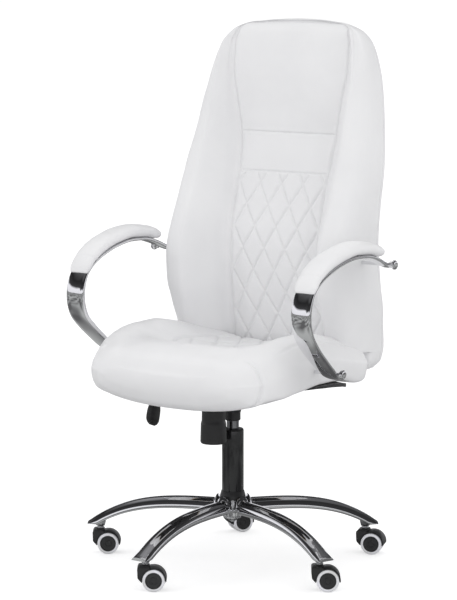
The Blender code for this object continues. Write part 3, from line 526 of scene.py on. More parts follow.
def capped(rings, rise, inset=0.014):
    """Rings with rounded ends: each end is drawn in towards its own middle as it moves out by rise."""

    def drawn_in(ring, away):
        middle = sum(ring, Vector()) / len(ring)
        size = max((point - middle).length for point in ring)
        made = []
        for angle in (25, 50, 72, 86):
            bend = math.radians(angle)
            shrink = 1 - min(inset, 0.45 * size) * (1 - math.cos(bend)) / size
            made.append([middle + (point - middle) * shrink + away * math.sin(bend) for point in ring])
        rim = made[-1]
        for share in (0.8, 0.55, 0.3, 0.1):
            made.append([middle + away + (point - middle - away) * share for point in rim])
        return made

    first, last = drawn_in(rings[0], -rise), drawn_in(rings[-1], rise)
    return [*reversed(first), *rings, *last]


def domed(rings, rise):
    """Rings closed at each end by a shallow dome that carries on the slope of the sides."""

    def dome(ring, away):
        middle = sum(ring, Vector()) / len(ring)
        made = []
        for share in (0.92, 0.83, 0.73, 0.62, 0.50, 0.38, 0.25, 0.12):
            made.append([middle + (point - middle) * share + away * (1 - share**2) for point in ring])
        return made

    return [*reversed(dome(rings[0], -rise)), *rings, *dome(rings[-1], rise)]


# ---------------------------------------------------------------- upholstery tools


def coordinates(mesh):
    points = np.empty(len(mesh.vertices) * 3)
    mesh.vertices.foreach_get("co", points)
    return points.reshape(-1, 3)


def normals(mesh):
    mesh.update()
    vectors = np.empty(len(mesh.vertices) * 3)
    mesh.vertex_normals.foreach_get("vector", vectors)
    return vectors.reshape(-1, 3)


def pushed(mesh, amount):
    """Moves every vertex along its normal by its own amount."""
    points = coordinates(mesh) + normals(mesh) * amount[:, None]
    mesh.vertices.foreach_set("co", points.ravel())
    mesh.update()


def step_up(value, low, high):
    t = np.clip((value - low) / (high - low), 0.0, 1.0)
    return t * t * (3 - 2 * t)


def near_line(points, line):
    """Distance of every point from a line through the given corners."""
    nearest = np.full(len(points), 9.0)
    for a, b in zip(np.array(line[:-1]), np.array(line[1:])):
        span = b - a
        if not span.any():
            continue
        along = np.clip(((points - a) @ span) / (span @ span), 0.0, 1.0)
        nearest = np.minimum(nearest, np.linalg.norm(points - a - along[:, None] * span, axis=1))
    return nearest


def groove(distance, depth, width):
    """A sewn seam: a narrow valley whose banks stand slightly proud of the skin."""
    valley = np.exp(-((distance / width) ** 2))
    banks = np.exp(-(((distance - 2.4 * width) / (1.6 * width)) ** 2))
    return -depth * valley + 0.22 * depth * banks


def pillows(across, along):
    """Quilting: 0 on the stitched diagonals and 1 in the middle of a diamond."""
    u = across / QUILT_WIDE + along / QUILT_HIGH
    v = across / QUILT_WIDE - along / QUILT_HIGH
    swell = np.abs(np.sin(np.pi * u) * np.sin(np.pi * v))
    from_line = np.minimum(np.abs(u - np.round(u)), np.abs(v - np.round(v))) * QUILT_PITCH
    return 0.30 * swell**0.6 + 0.70 * (1 - np.exp(-((from_line / QUILT_CREASE) ** 1.6)))


def slack(points, size, height):
    """Soft unevenness of stuffed leather."""
    rough = [noise.fractal(Vector(point) / size, 0.9, 2.0, 3) for point in points]
    return np.array(rough) * height


# ---------------------------------------------------------------- seat

# distance along the seat, half width, top at the middle, top at the side bolster,
# underside at the middle, lower edge at the side
SEAT = [
    (-0.268, 0.172, 0.478, 0.476, 0.428, 0.440),
    (-0.262, 0.200, 0.499, 0.496, 0.404, 0.426),
    (-0.246, 0.228, 0.517, 0.512, 0.391, 0.414),
    (-0.205, 0.252, 0.530, 0.528, 0.389, 0.421),
    (-0.150, 0.261, 0.526, 0.541, 0.395, 0.423),
    (-0.090, 0.262, 0.508, 0.552, 0.404, 0.430),
    (-0.030, 0.261, 0.499, 0.553, 0.412, 0.435),
    (0.040, 0.260, 0.496, 0.542, 0.416, 0.4365),
    (0.100, 0.258, 0.495, 0.528, 0.418, 0.431),
    (0.150, 0.258, 0.496, 0.521, 0.418, 0.4215),
    (0.172, 0.255, 0.493, 0.513, 0.421, 0.4235),
    (0.182, 0.246, 0.486, 0.499, 0.430, 0.436),
]
SEAT_FRONT = SEAT[0][0]
SEAT_SPLITS = (48, 26, 14, 14, 12, 8, 8, 7, 8, 6, 4)
PANEL_HALF = 0.128  # the seat's quilted panel
PANEL_FRONT = -0.078
PANEL_CORNER = 0.050
SIDE_SEAM = 4  # the control point of a seat section that the seam along the bolster runs through
CORNER_SEAM_Y = -0.2155  # where the seam down each front corner crosses CORNER_SEAM_Z
CORNER_SEAM_Z = 0.470
EASING = 45  # rounds of smoothing


def seat_controls(y):
    half, middle, bolster, under, edge = between(SEAT, y)
    haunch = under + 0.40 * (edge - under)
    if y > -0.10:
        haunch = max(haunch, BOARD_BOTTOM - 0.0005)
    if y > -0.05:
        haunch = max(haunch, BOARD_BOTTOM + 0.0030)
    depth = bolster - edge
    right = [
        (0.0, middle),
        (0.10, middle + 0.10 * (bolster - middle)),
        (0.155, middle + 0.55 * (bolster - middle)),
        (0.200, bolster),
        (0.238, bolster - min(0.014, 0.18 * depth)),
        (0.257, bolster - min(0.045, 0.46 * depth)),
        (0.260, (bolster + edge) / 2 - min(0.005, 0.10 * depth)),
        (0.254, edge + min(0.014, 0.25 * depth)),
        (0.236, edge),
        (0.170, haunch),
        (0.09, under + 0.08 * (edge - under)),
        (0.0, under),
    ]
    right = [(x * half / 0.260, z) for x, z in right]
    left = [(-x, z) for x, z in reversed(right[1:-1])]
    return [Vector((x, y, z)) for x, z in right + left]


def seat_rows():
    y = SEAT_FRONT
    rows = []
    while y < SEAT[-1][0] - 0.0005:
        rows.append(y)
        y += 0.0012 if y < -0.2580 else 0.0020 if y < -0.232 or y > PANEL_FRONT - 0.010 else 0.0038
    return [*rows, SEAT[-1][0]]


def rolled(point):
    """Turns the seat's flat front face into one full roll, bowed across and rounded top to bottom."""
    ahead = 1 - min(1.0, max(0.0, (point.y - SEAT_FRONT) / 0.150))
    ahead = ahead * ahead * (3 - 2 * ahead)
    bow = 0.015 * (point.x / 0.200) ** 2 + 0.010 * abs((point.z - 0.458) / 0.050) ** 2.2
    return point + Vector((0, bow * ahead, 0))


def eased(rings, rounds):
    """Smooths a skin of rings above its underside, so that it looks stuffed and not built of facets."""
    skin = np.array([[tuple(point) for point in ring] for ring in rings])
    upper = step_up(skin[..., 2:], 0.430, 0.450) * step_up(skin[..., 1:2], -0.262, -0.215)
    for _ in range(rounds):
        around = (np.roll(skin, 1, axis=1) + np.roll(skin, -1, axis=1)) / 2
        along = skin.copy()
        along[1:-1] = (skin[:-2] + skin[2:]) / 2
        skin = skin + 0.25 * upper * (around + along - 2 * skin)
    return [[Vector(point) for point in ring] for ring in skin]


def build_seat():
    splits = [even(count) for count in SEAT_SPLITS]
    splits += splits[::-1]
    rows = seat_rows()
    rings = eased([spline(seat_controls(y), splits, closed=True) for y in rows], EASING)
    rings = [[rolled(point) for point in ring] for ring in domed(rings, Vector((0, 0.0034, 0)))]
    side_seam = [seat_controls(y)[SIDE_SEAM] for y in rows]
    mesh = loft("seat_cushion", rings)
    points = coordinates(mesh)
    x, y, z = points.T
    wide = np.abs(x)
    top = step_up(z, 0.470, 0.485)
    # the quilted panel: a rounded rectangle, open at the back
    side_away = wide - (PANEL_HALF - PANEL_CORNER)
    front_away = (PANEL_FRONT + PANEL_CORNER) - y
    outside = np.hypot(np.maximum(side_away, 0), np.maximum(front_away, 0))
    outside = outside + np.minimum(np.maximum(side_away, front_away), 0) - PANEL_CORNER
    inside = step_up(-outside, 0.0, 0.010) * top
    push = 0.0044 * inside * pillows(x, y - QUILT_Y) - 0.0034 * inside
    push += groove(np.abs(outside), *PANEL_SEAM) * top
    # seams along the bolsters and down the front corners
    bolster_line = [(a, b, c) for a, b, c in side_seam if b > -0.232]
    mirror = np.stack((wide, y, z), axis=1)
    push += groove(near_line(mirror, bolster_line), *BOLSTER_SEAM)
    corner = np.abs(y - CORNER_SEAM_Y + 0.06 * (CORNER_SEAM_Z - z)) * 0.85
    corner_mask = step_up(wide, 0.185, 0.205) * (1 - step_up(z, 0.512, 0.520))
    push += groove(corner, *CORNER_SEAM) * corner_mask
    push += slack(points, 0.085, 0.0016) * step_up(z, 0.400, 0.430)
    pushed(mesh, push)
    room = box_mesh("board_room", (-0.1653, -0.2103, 0.375), (0.1653, 0.1583, BOARD_TOP + GAP))
    low, high = (-BRACKET_HALF, 0.040, BOARD_TOP - 0.001), (BRACKET_HALF, 0.205, BOARD_TOP + 0.005)
    mesh = carved(mesh, [room, box_mesh("bracket_room", low, high)])
    cushion = piece("seat_pad", mesh, "seat", LEATHER, ("seat_cushion",), 50)


# ---------------------------------------------------------------- back

# height, half width, front of the side bolster, front of the middle panel, rear, half width of the panel
BACK = [
    (0.443, 0.226, 0.200, 0.202, 0.262, 0.125),
    (0.456, 0.236, 0.186, 0.190, 0.274, 0.129),
    (0.466, 0.240, 0.184, 0.188, 0.276, 0.131),
    (0.484, 0.243, 0.184, 0.188, 0.278, 0.131),
    (0.489, 0.244, 0.130, 0.188, 0.278, 0.131),
    (0.498, 0.245, 0.103, 0.187, 0.277, 0.130),
    (0.545, 0.248, 0.084, 0.182, 0.271, 0.129),
    (0.587, 0.250, 0.070, 0.174, 0.266, 0.127),
    (0.627, 0.251, 0.058, 0.167, 0.257, 0.125),
    (0.684, 0.252, 0.054, 0.163, 0.246, 0.124),
    (0.731, 0.252, 0.060, 0.165, 0.242, 0.124),
    (0.777, 0.252, 0.076, 0.171, 0.245, 0.124),
    (0.827, 0.251, 0.098, 0.183, 0.253, 0.124),
    (0.873, 0.250, 0.117, 0.197, 0.263, 0.125),
    (0.923, 0.246, 0.134, 0.212, 0.275, 0.129),
    (0.976, 0.240, 0.152, 0.221, 0.285, 0.134),
    (1.056, 0.229, 0.173, 0.221, 0.297, 0.147),
    (1.130, 0.215, 0.190, 0.225, 0.303, 0.160),
    (1.184, 0.197, 0.207, 0.231, 0.301, 0.160),
    (1.207, 0.180, 0.221, 0.236, 0.295, 0.154),
    (1.220, 0.160, 0.234, 0.242, 0.291, 0.148),
    (1.230, 0.126, 0.246, 0.250, 0.287, 0.122),
    (1.2355, 0.075, 0.253, 0.256, 0.282, 0.073),
]
COVER_DEPTH = 0.030
STRIP_TOP = 0.976  # the plain strip between the head panel and the quilting
STRIP_BOTTOM = 0.886
# tucks where the head bolster is drawn in by the seam: start, end and depth
TUCKS = (
    ((0.137, 0.205, 0.985), (0.172, 0.176, 1.052), 0.0022),
    ((0.140, 0.205, 1.005), (0.168, 0.180, 1.075), 0.0012),
    ((0.136, 0.195, 0.940), (0.165, 0.160, 0.925), 0.0010),
)
TUCK_WIDTH = 0.0045
BOARD_LOW, BOARD_HIGH = 0.475, 1.185  # the board inside the back
SLOT_FRONT, SLOT_REAR, SLOT_TOP = 0.2130, 0.2225, 0.5605  # room for the bracket
SLOT_BOTTOM = 0.4250
FOOT_SLOT_FRONT, FOOT_SLOT_TOP = 0.1700, 0.4600
BORDER_SHARE = 0.80  # of the half width, inside the rear upholstery's border seam
BORDER_BOTTOM, BORDER_TOP = 0.490, 1.180
FRONT_TOP = 1.2325  # the front cushion ends a little below the rear upholstery
HEAD_FADE = (1.206, 1.222)  # the heights between which seams run out over the top edge
FRONT_SPLITS = (
    even(42),
    even(32),
    (0.0, 0.05, 0.11, 0.18, 0.26, 0.36, 0.48, 0.60, 0.74, 0.88),
    even(12),
    even(9),
    even(10),
    even(8),
    even(12),
    (0.0, 0.12, 0.25, 0.40, 0.60, 0.80, 0.90, 0.96),
)


def back_controls(z):
    """Right half of a back section, from the middle of the front to the rear corner, and its seam."""
    half, bolster, panel, rear_face, seam = between(BACK, z)
    rear = rear_face - COVER_DEPTH - GAP
    bolster = min(bolster, rear - 0.012)
    panel = min(panel, rear - 0.006)
    crest = seam + 0.62 * (half - seam)
    right = [
        (0.0, panel),
        (seam * 0.6, panel - 0.0008),
        (seam, panel - 0.002),
        (seam + 0.35 * (crest - seam), panel + 0.45 * (bolster - panel)),
        (seam + 0.75 * (crest - seam), bolster + 0.12 * (panel - bolster)),
        (crest, bolster),
        (half - min(0.012, 0.30 * (half - seam)), bolster + min(0.0112, 0.24 * (rear - bolster))),
        (half, bolster + 0.35 * (rear - bolster)),
        (half, bolster + 0.75 * (rear - bolster)),
        (half - 0.002, rear),
    ]
    return [Vector((x, y, z)) for x, y in right]


def back_rows():
    z = BACK[0][0]
    rows = []
    while z < BACK[-1][0] - 0.0004:
        rows.append(z)
        fine = 0.4810 < z < 0.5030 or abs(z - STRIP_TOP) < 0.008 or abs(z - STRIP_BOTTOM) < 0.008
        z += 0.0012 if fine else 0.0015 if z > 1.200 else 0.0019 if z < STRIP_BOTTOM else 0.0034
    return [*rows, BACK[-1][0]]


def back_front_ring(z):
    right = spline(back_controls(z), FRONT_SPLITS)
    left = [Vector((-x, y, z)) for x, y, _ in reversed(right[1:])]
    corner = right[-1].x
    rear = [Vector((corner * (1 - k / 8), right[-1].y, z)) for k in range(1, 16)]
    return [*right, *rear, *left]


def back_board_room():
    """The hollow behind the front cushion that holds the board."""
    rooms = []
    count = 14
    for k in range(count + 1):
        height = BOARD_LOW + (BOARD_HIGH - BOARD_LOW) * k / count
        half, _, _, rear_face, _ = between(BACK, height)
        rear = rear_face - COVER_DEPTH
        front = rear - 0.015 - GAP
        reach = half - 0.045 + GAP
        corners = ((-reach, front), (reach, front), (reach, rear + 0.005), (-reach, rear + 0.005))
        level = height + (-GAP if k == 0 else GAP if k == count else 0.0)
        rooms.append([Vector((a, b, level)) for a, b in corners])
    return loft("board_room", rooms)


def rear_ring(height):
    """A section of the rear upholstery: a wide flat field, round edges and a flat side to the front."""
    half, _, _, rear, _ = between(BACK, height)
    front = rear - COVER_DEPTH
    right = [
        (0.0, rear),
        (half * 0.30, rear - 0.0003),
        (half * 0.55, rear - 0.001),
        (half * 0.84, rear - 0.006),
        (half - 0.008, front + 0.45 * (rear - front)),
        (half - 0.002, front + 0.0035),
        (half - 0.0055, front + GAP),
    ]
    side = spline([Vector((a, b, height)) for a, b in right], [even(10)] * 4 + [even(6)] * 2)
    mirrored = [Vector((-a, b, c)) for a, b, c in reversed(side[1:])]
    corner = side[-1].x
    flat = [Vector((corner * (1 - k / 6), side[-1].y, height)) for k in range(1, 12)]
    return [*side, *flat, *mirrored]


def build_back():
    rows = back_rows()
    rings = [back_front_ring(z) for z in rows if z < FRONT_TOP]
    seam_line = [tuple(back_controls(z)[2]) for z in rows]
    mesh = loft("back_cushion", domed(rings, Vector((0, 0, 0.0030))))
    points = coordinates(mesh)
    x, y, z = points.T
    facing = step_up(-normals(mesh)[:, 1], 0.05, 0.35)
    below_top = 1 - step_up(z, *HEAD_FADE)
    wide = np.abs(x)
    seam_x = np.interp(z, rows, [place[0] for place in seam_line])
    within = step_up(seam_x - wide, 0.0, 0.010) * facing * below_top
    quilted = within * step_up(STRIP_BOTTOM - z, 0.0, 0.006)
    push = quilted * (0.0046 * pillows(x, z - QUILT_Z) - 0.0010)
    # the plain strip bellies out between its seams
    strip_middle = (STRIP_TOP + STRIP_BOTTOM) / 2
    strip = 1 - np.clip(np.abs(z - strip_middle) / (strip_middle - STRIP_BOTTOM), 0, 1) ** 2
    push += within * 0.0040 * strip
    for height in (STRIP_TOP, STRIP_BOTTOM):
        push += groove(np.abs(z - height), *CROSS_SEAM) * within
    mirror = np.stack((wide, y, z), axis=1)
    push += groove(near_line(mirror, seam_line), *BACK_SEAM) * facing * below_top
    for start, end, depth in TUCKS:
        push += groove(near_line(mirror, [start, end]), depth, TUCK_WIDTH) * facing
    push += slack(points, 0.110, 0.0018) * step_up(np.abs(wide - seam_x), 0.0, 0.012) * below_top
    pushed(mesh, push)
    cuts = [back_board_room()]
    for name, front, top in (("slot", SLOT_FRONT, SLOT_TOP), ("foot_slot", FOOT_SLOT_FRONT, FOOT_SLOT_TOP)):
        cuts.append(box_mesh(name, (-BRACKET_HALF, front, SLOT_BOTTOM), (BRACKET_HALF, SLOT_REAR, top)))
    mesh = carved(mesh, cuts)
    cushion = piece("back_pad", mesh, "seat", LEATHER, ("back_cushion",), 50)


def build_rear_panel():
    rows = back_rows()
    shell = loft("rear_panel", domed([rear_ring(height) for height in rows], Vector((0, 0, 0.0030))))
    spots = coordinates(shell)
    behind = step_up(normals(shell)[:, 1], 0.2, 0.6)
    push = slack(spots + np.array((3.0, 0.0, 0.0)), 0.140, 0.0014) * behind
    # the rear upholstery is sewn from one field inside a border
    x, _, z = spots.T
    border_x = np.interp(z, rows, [between(BACK, height)[0] * BORDER_SHARE for height in rows])
    edge = np.minimum(border_x - np.abs(x), np.minimum(z - BORDER_BOTTOM, BORDER_TOP - z))
    push += groove(np.abs(edge), *REAR_SEAM) * behind
    pushed(shell, push)
    rear = piece("rear_pad", shell, "seat", LEATHER, ("back_rear_panel",), 50)


# ---------------------------------------------------------------- dust cover


def build_under_cover():
    rows = (
        (-0.200, 0.158, 0.0, 0.0),
        (-0.040, 0.164, 0.0, 0.0),
        (-0.022, 0.205, 0.0025, 0.0020),
        (0.004, 0.236, 0.0075, 0.0060),
        (0.040, 0.244, 0.0090, 0.0050),
        (0.080, 0.246, 0.0070, 0.0015),
        (0.108, 0.238, 0.0022, -0.0010),
        (0.126, 0.205, -0.0006, -0.0012),
        (0.136, 0.164, 0.0, 0.0),
        (0.150, 0.158, 0.0, 0.0),
    )
    top = BOARD_BOTTOM - GAP
    bottom = top - 0.003
    rings = []
    for k in range(71):
        y = -0.200 + 0.350 * k / 70
        half, top_rise, bottom_rise = between(rows, y)
        shoulder = min(half * 0.99, 0.168)
        section = [(half, top + top_rise), (half, bottom + bottom_rise), (shoulder, bottom)]
        section += [(shoulder * (1 - j / 8), bottom) for j in range(1, 16)]
        section += [(-shoulder, bottom), (-half, bottom + bottom_rise), (-half, top + top_rise)]
        section += [(-shoulder, top), (0.0, top), (shoulder, top)]
        rings.append([Vector((x, y, z)) for x, z in section])
    mesh = loft("seat_under_cover", rings)
    points = coordinates(mesh)
    sag = slack(points, 0.05, 0.0012)
    points[:, 2] -= np.abs(sag) * (points[:, 2] < bottom + 0.0005) * (np.abs(points[:, 0]) > 0.062)
    mesh.vertices.foreach_set("co", points.ravel())
    room = box_mesh("plate_room", (-0.0590, -0.1135, top - 0.02), (0.0590, 0.0915, top + 0.01))
    mesh = carved(mesh, [room])
    piece("dust_cover", mesh, "seat", CLOTH, ("seat_under_cover",), 40)


# ---------------------------------------------------------------- arms

ARM_PATH = [
    (0.296, -0.018, 0.4610, 0.0150, 0.0045),
    (0.300, -0.034, 0.4640, 0.0185, 0.0050),
    (0.304, -0.056, 0.4730, 0.0215, 0.0060),
    (0.307, -0.081, 0.4900, 0.0235, 0.0070),
    (0.309, -0.110, 0.5130, 0.0245, 0.0078),
    (0.311, -0.142, 0.5400, 0.0250, 0.0085),
    (ARM_X, -0.167, 0.5670, 0.0250, 0.0090),
    (ARM_X, -0.178, 0.5930, 0.0250, 0.0092),
    (ARM_X, -0.180, 0.6140, 0.0250, 0.0092),
    (ARM_X, -0.176, 0.6400, 0.0250, 0.0088),
    (ARM_X, -0.164, 0.6640, 0.0245, 0.0075),
    (ARM_X, -0.137, 0.6860, 0.0240, 0.0060),
    (ARM_X, -0.100, 0.7030, 0.0235, 0.0052),
    (ARM_X, -0.050, 0.7180, 0.0230, 0.0050),
    (ARM_X, 0.010, 0.7260, 0.0225, 0.0050),
    (0.3125, 0.060, 0.7240, 0.0210, 0.0050),
    (0.312, 0.105, 0.7130, 0.0180, 0.0050),
    (0.311, 0.140, 0.7000, 0.0150, 0.0050),
    (0.311, 0.160, 0.6930, 0.0130, 0.0045),
]
PAD_PATH = [
    (ARM_X, -0.1680, 0.6660, 0.0240, 0.0060),
    (ARM_X, -0.1625, 0.6760, 0.0275, 0.0090),
    (ARM_X, -0.1440, 0.6960, 0.0292, 0.0118),
    (ARM_X, -0.1100, 0.7170, 0.0300, 0.0138),
    (ARM_X, -0.0560, 0.7350, 0.0300, 0.0148),
    (ARM_X, 0.0100, 0.7450, 0.0300, 0.0155),
    (ARM_X, 0.0660, 0.7410, 0.0295, 0.0150),
    (ARM_X, 0.0930, 0.7345, 0.0285, 0.0140),
    (ARM_X, 0.1060, 0.7305, 0.0260, 0.0110),
]
ARM_BOLTS = {
    "front": {"y": -0.050, "z": 0.4745, "cap_x": 0.3380, "neck": 0.0020, "end_x": 0.2450},
    "rear": {"y": 0.147, "z": 0.6980, "cap_x": 0.3440, "neck": 0.0070, "end_x": 0.2350},
}


def pad_mesh():
    mesh = loft("arm_pad", bar_rings(PAD_PATH, 110, 64, 2.4))
    points = coordinates(mesh)
    _, y, z = points.T
    # a seam across the top, close to the front end
    across = np.abs((y + 0.1500) * 0.66 + (z - 0.7010) * 0.75)
    upper = step_up(z + y * 0.25, 0.6480, 0.6560)
    push = groove(across, *PAD_SEAM) * (y < -0.11) * upper
    pushed(mesh, push + slack(points, 0.045, 0.0009))
    return mesh


def arm_bolt_mesh(place):
    """A bolt with a domed cap, along Z with its cap's top at 0."""
    neck = 0.0090 + place["neck"]
    length = place["cap_x"] - place["end_x"]
    profile = [(0.0, 0.0), (0.0060, 0.0), (0.0088, -0.0006), (0.0105, -0.0024), (0.0105, -0.0070)]
    profile += [(0.0070, -0.0090), (0.0070, -neck), (0.0040, -neck), (0.0040, -length), (0.0, -length)]
    return turned("arm_bolt", profile, 40, radius=0.0005)


def build_arms():
    bar = loft("arm", bar_rings(ARM_PATH, 150, 48, 2.6))
    grown = [(x, y, z, half_width + GAP, half_thick + GAP) for x, y, z, half_width, half_thick in ARM_PATH]
    channel = loft("pad_channel", bar_rings(grown, 60, 28, 2.6))
    holes = []
    for place in ARM_BOLTS.values():
        near, far = (0.25, place["y"], place["z"]), (0.38, place["y"], place["z"])
        holes.append(rod("arm_hole", 0.0043, near, far, 32))
    bar = carved(bar, holes)
    pad = carved(pad_mesh(), [channel])
    screw_profile = [(0.0, 0.0), (0.0042, 0.0), (0.0050, 0.0010), (0.0050, 0.0030), (0.0, 0.003)]
    for side, sign in (("left", 1), ("right", -1)):
        arm = bar.copy() if sign > 0 else flipped(bar, "arm_right_bar")
        piece("arm_bar_" + side, arm, "seat", CHROME, ("arm_" + side,), 40)
        shape = pad.copy() if sign > 0 else flipped(pad, "arm_pad_right_soft")
        soft = piece("arm_rest_" + side, shape, "seat", LEATHER, ("arm_pad_" + side,), 50)
        for end, place in ARM_BOLTS.items():
            bolt = arm_bolt_mesh(place)
            bolt.transform(Matrix.Rotation(sign * math.pi / 2, 4, "Y"))
            bolt.transform(Matrix.Translation((sign * place["cap_x"], place["y"], place["z"])))
            piece(f"cap_bolt_{end}_{side}", bolt, "seat", CHROME, (f"arm_bolt_{end}_{side}",), 35)
        # screws that hold the pad, on the underside of the bar
        for end, y, z, tilt in (("front", -0.118, 0.6900, 0.50), ("rear", 0.052, 0.7195, -0.10)):
            screw = turned("pad_screw", screw_profile, 24)
            screw.transform(Matrix.Rotation(tilt, 4, "X"))
            screw.transform(Matrix.Translation((sign * ARM_X, y, z)))
            piece(f"pad_screw_{end}_{side}", screw, "seat", STEEL)


# ---------------------------------------------------------------- base


def around_column(index):
    """The direction of a leg, the first pointing to the front."""
    return -math.pi / 2 + index * 2 * math.pi / len(SIDES)


def leg_top(radius):
    arch = LEG_TOP - LEG_DROP * (radius / LEG_LENGTH) ** LEG_CURVE
    return arch + 0.009 * math.exp(-(((radius - 0.0365) / 0.0032) ** 2))


def leg_ring(radius):
    """The section of a leg: a folded spine, sloping faces and an upright flange each side."""
    widest = 0.0188 + 0.0012 * min(max((radius - 0.040) / 0.008, 0.0), 1.0)
    half = min(widest, math.tan(math.pi / 5) * radius - 2 * GAP)
    top = leg_top(radius)
    bottom = max(top - (0.029 - 0.006 * radius / LEG_LENGTH), LEG_FOOT_Z)
    height = top - bottom
    shares = ((0.0, 0.0), (0.45, 0.05), (0.80, 0.30), (0.95, 0.65), (1.0, 1.0))
    right = [(half * across, -height * down) for across, down in shares]
    outline = right + [(-across, down) for across, down in reversed(right[1:])]
    outline = round_corners(outline, 0.0022, closed=True, steps=3)
    return [Vector((radius, across, top + down)) for across, down in outline]


def build_base():
    places = [0.0181 + 0.0007 * k for k in range(44)]
    places += [places[-1] + (LEG_LENGTH - places[-1]) * k / 60 for k in range(1, 61)]
    rings = capped([leg_ring(radius) for radius in places], Vector((0.0008, 0, 0)), 0.0015)
    # the inner end stays flat against the hub: its cap of eight rings is left off
    leg = loft("base_leg", rings[8:])
    profile = [(0.0, 0.0775), (0.0125, 0.0775), (0.0125, 0.0740), (0.0100, 0.0640), (0.0, 0.0640)]
    boss = turned("stem_boss", profile, 48, radius=0.0008)
    bore = rod("stem_bore", 0.0058, (0, 0, 0.050), (0, 0, 0.0790), 32)
    for mesh in (boss, bore):
        mesh.transform(Matrix.Translation((STEM_CIRCLE, 0, 0)))
    leg = carved(leg, [bore], joined=[boss])
    for index, side in enumerate(SIDES):
        shape = leg.copy()
        shape.transform(Matrix.Rotation(around_column(index), 4, "Z"))
        piece("base_leg_" + side, shape, "base", CHROME, ("leg_" + side,), 38)
    sleeve = [(0.0178, LEG_TOP - 0.001), (0.0178, 0.1100), (0.0193, 0.1090), (0.0193, 0.1050)]
    sleeve += [(0.0143, 0.1050), (0.0143, LEG_TOP - 0.001)]
    hub = turned("base_hub", sleeve, 72, ring=True, radius=0.0006)
    piece("base_hub", hub, "base", CHROME, ("hub_sleeve",), 35)
    foot = [(0.0262, 0.1690), (0.0290, 0.1590), (0.0290, 0.1503), (0.0143, 0.1503)]
    foot += [(0.0143, 0.1600), (0.0253, 0.1600), (0.0253, 0.1690)]
    ring = turned("foot_ring", foot, 72, ring=True, radius=0.0010)
    piece("foot_ring", ring, "base", PLASTIC, ("column_foot_ring",), 35)


def build_lift():
    tube = [(0.0222, 0.3100), (0.0250, 0.3100), (0.0250, 0.1603), (0.0140, 0.1603)]
    tube += [(0.0134, 0.1035), (0.0053, 0.1035), (0.0053, 0.1720), (0.0222, 0.1720)]
    made = turned("outer_tube", tube, 96, ring=True, radius=0.0008)
    piece("outer_tube", made, "base", GLOSS, ("lift_outer_tube",), 35)
    bush = [(0.0142, 0.3130), (0.0230, 0.3130), (0.0246, 0.3115), (0.0246, 0.3103)]
    bush += [(0.0219, 0.3103), (0.0219, 0.2800), (0.0142, 0.2800)]
    made = turned("guide_bush", bush, 72, ring=True, radius=0.0005)
    piece("guide_bush", made, "base", PLASTIC, ("lift_guide_bush",), 35)
    cylinder = [(0.0, 0.3925), (0.0130, 0.3925), (0.0140, 0.3915), (0.0140, 0.1950)]
    cylinder += [(0.0055, 0.1950), (0.0055, 0.3450), (0.0, 0.3450)]
    made = turned("piston", cylinder, 72, radius=0.0003)
    piece("piston", made, "lift", PISTON, ("lift_cylinder",), 35)


def build_mechanism():
    under = 0.3785  # where the knob's top face meets the tray
    grip = [(0.0, under + 0.0350), (0.0052, under + 0.0350), (0.0052, under), (0.0240, under)]
    grip += [(0.0262, under - 0.0030), (0.0268, 0.3420), (0.0288, 0.3350)]
    grip += [(0.0300, 0.2940), (0.0280, 0.2900), (0.0, 0.2900)]
    knob = turned("tension_grip", grip, 120, radius=0.0012)
    # shallow finger flutes round the wide part
    points = coordinates(knob)
    radius = np.hypot(points[:, 0], points[:, 1])
    angle = np.arctan2(points[:, 1], points[:, 0])
    flute = np.clip(np.cos(angle * 20), 0, 1) ** 2 * 0.0008
    wide_part = step_up(points[:, 2], 0.2935, 0.2985) * (1 - step_up(points[:, 2], 0.3300, 0.3345))
    flute = flute * (radius > 0.024) * wide_part
    shrink = (radius - flute) / np.maximum(radius, 0.001)
    points[:, 0] *= shrink
    points[:, 1] *= shrink
    knob.vertices.foreach_set("co", points.ravel())
    knob.transform(Matrix.Translation((0, -0.074, 0)))
    piece("tension_grip", knob, "tension_knob", PLASTIC, ("tension_knob",), 35)
    for node in ("tilt_tray", "seat_plate", "back_bracket", "seat_board", "back_board"):
        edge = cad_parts[node].modifiers.new("eased_edges", "BEVEL")
        edge.width = 0.0007
        edge.segments = 2
        edge.limit_method = "ANGLE"
        edge.angle_limit = math.radians(50)


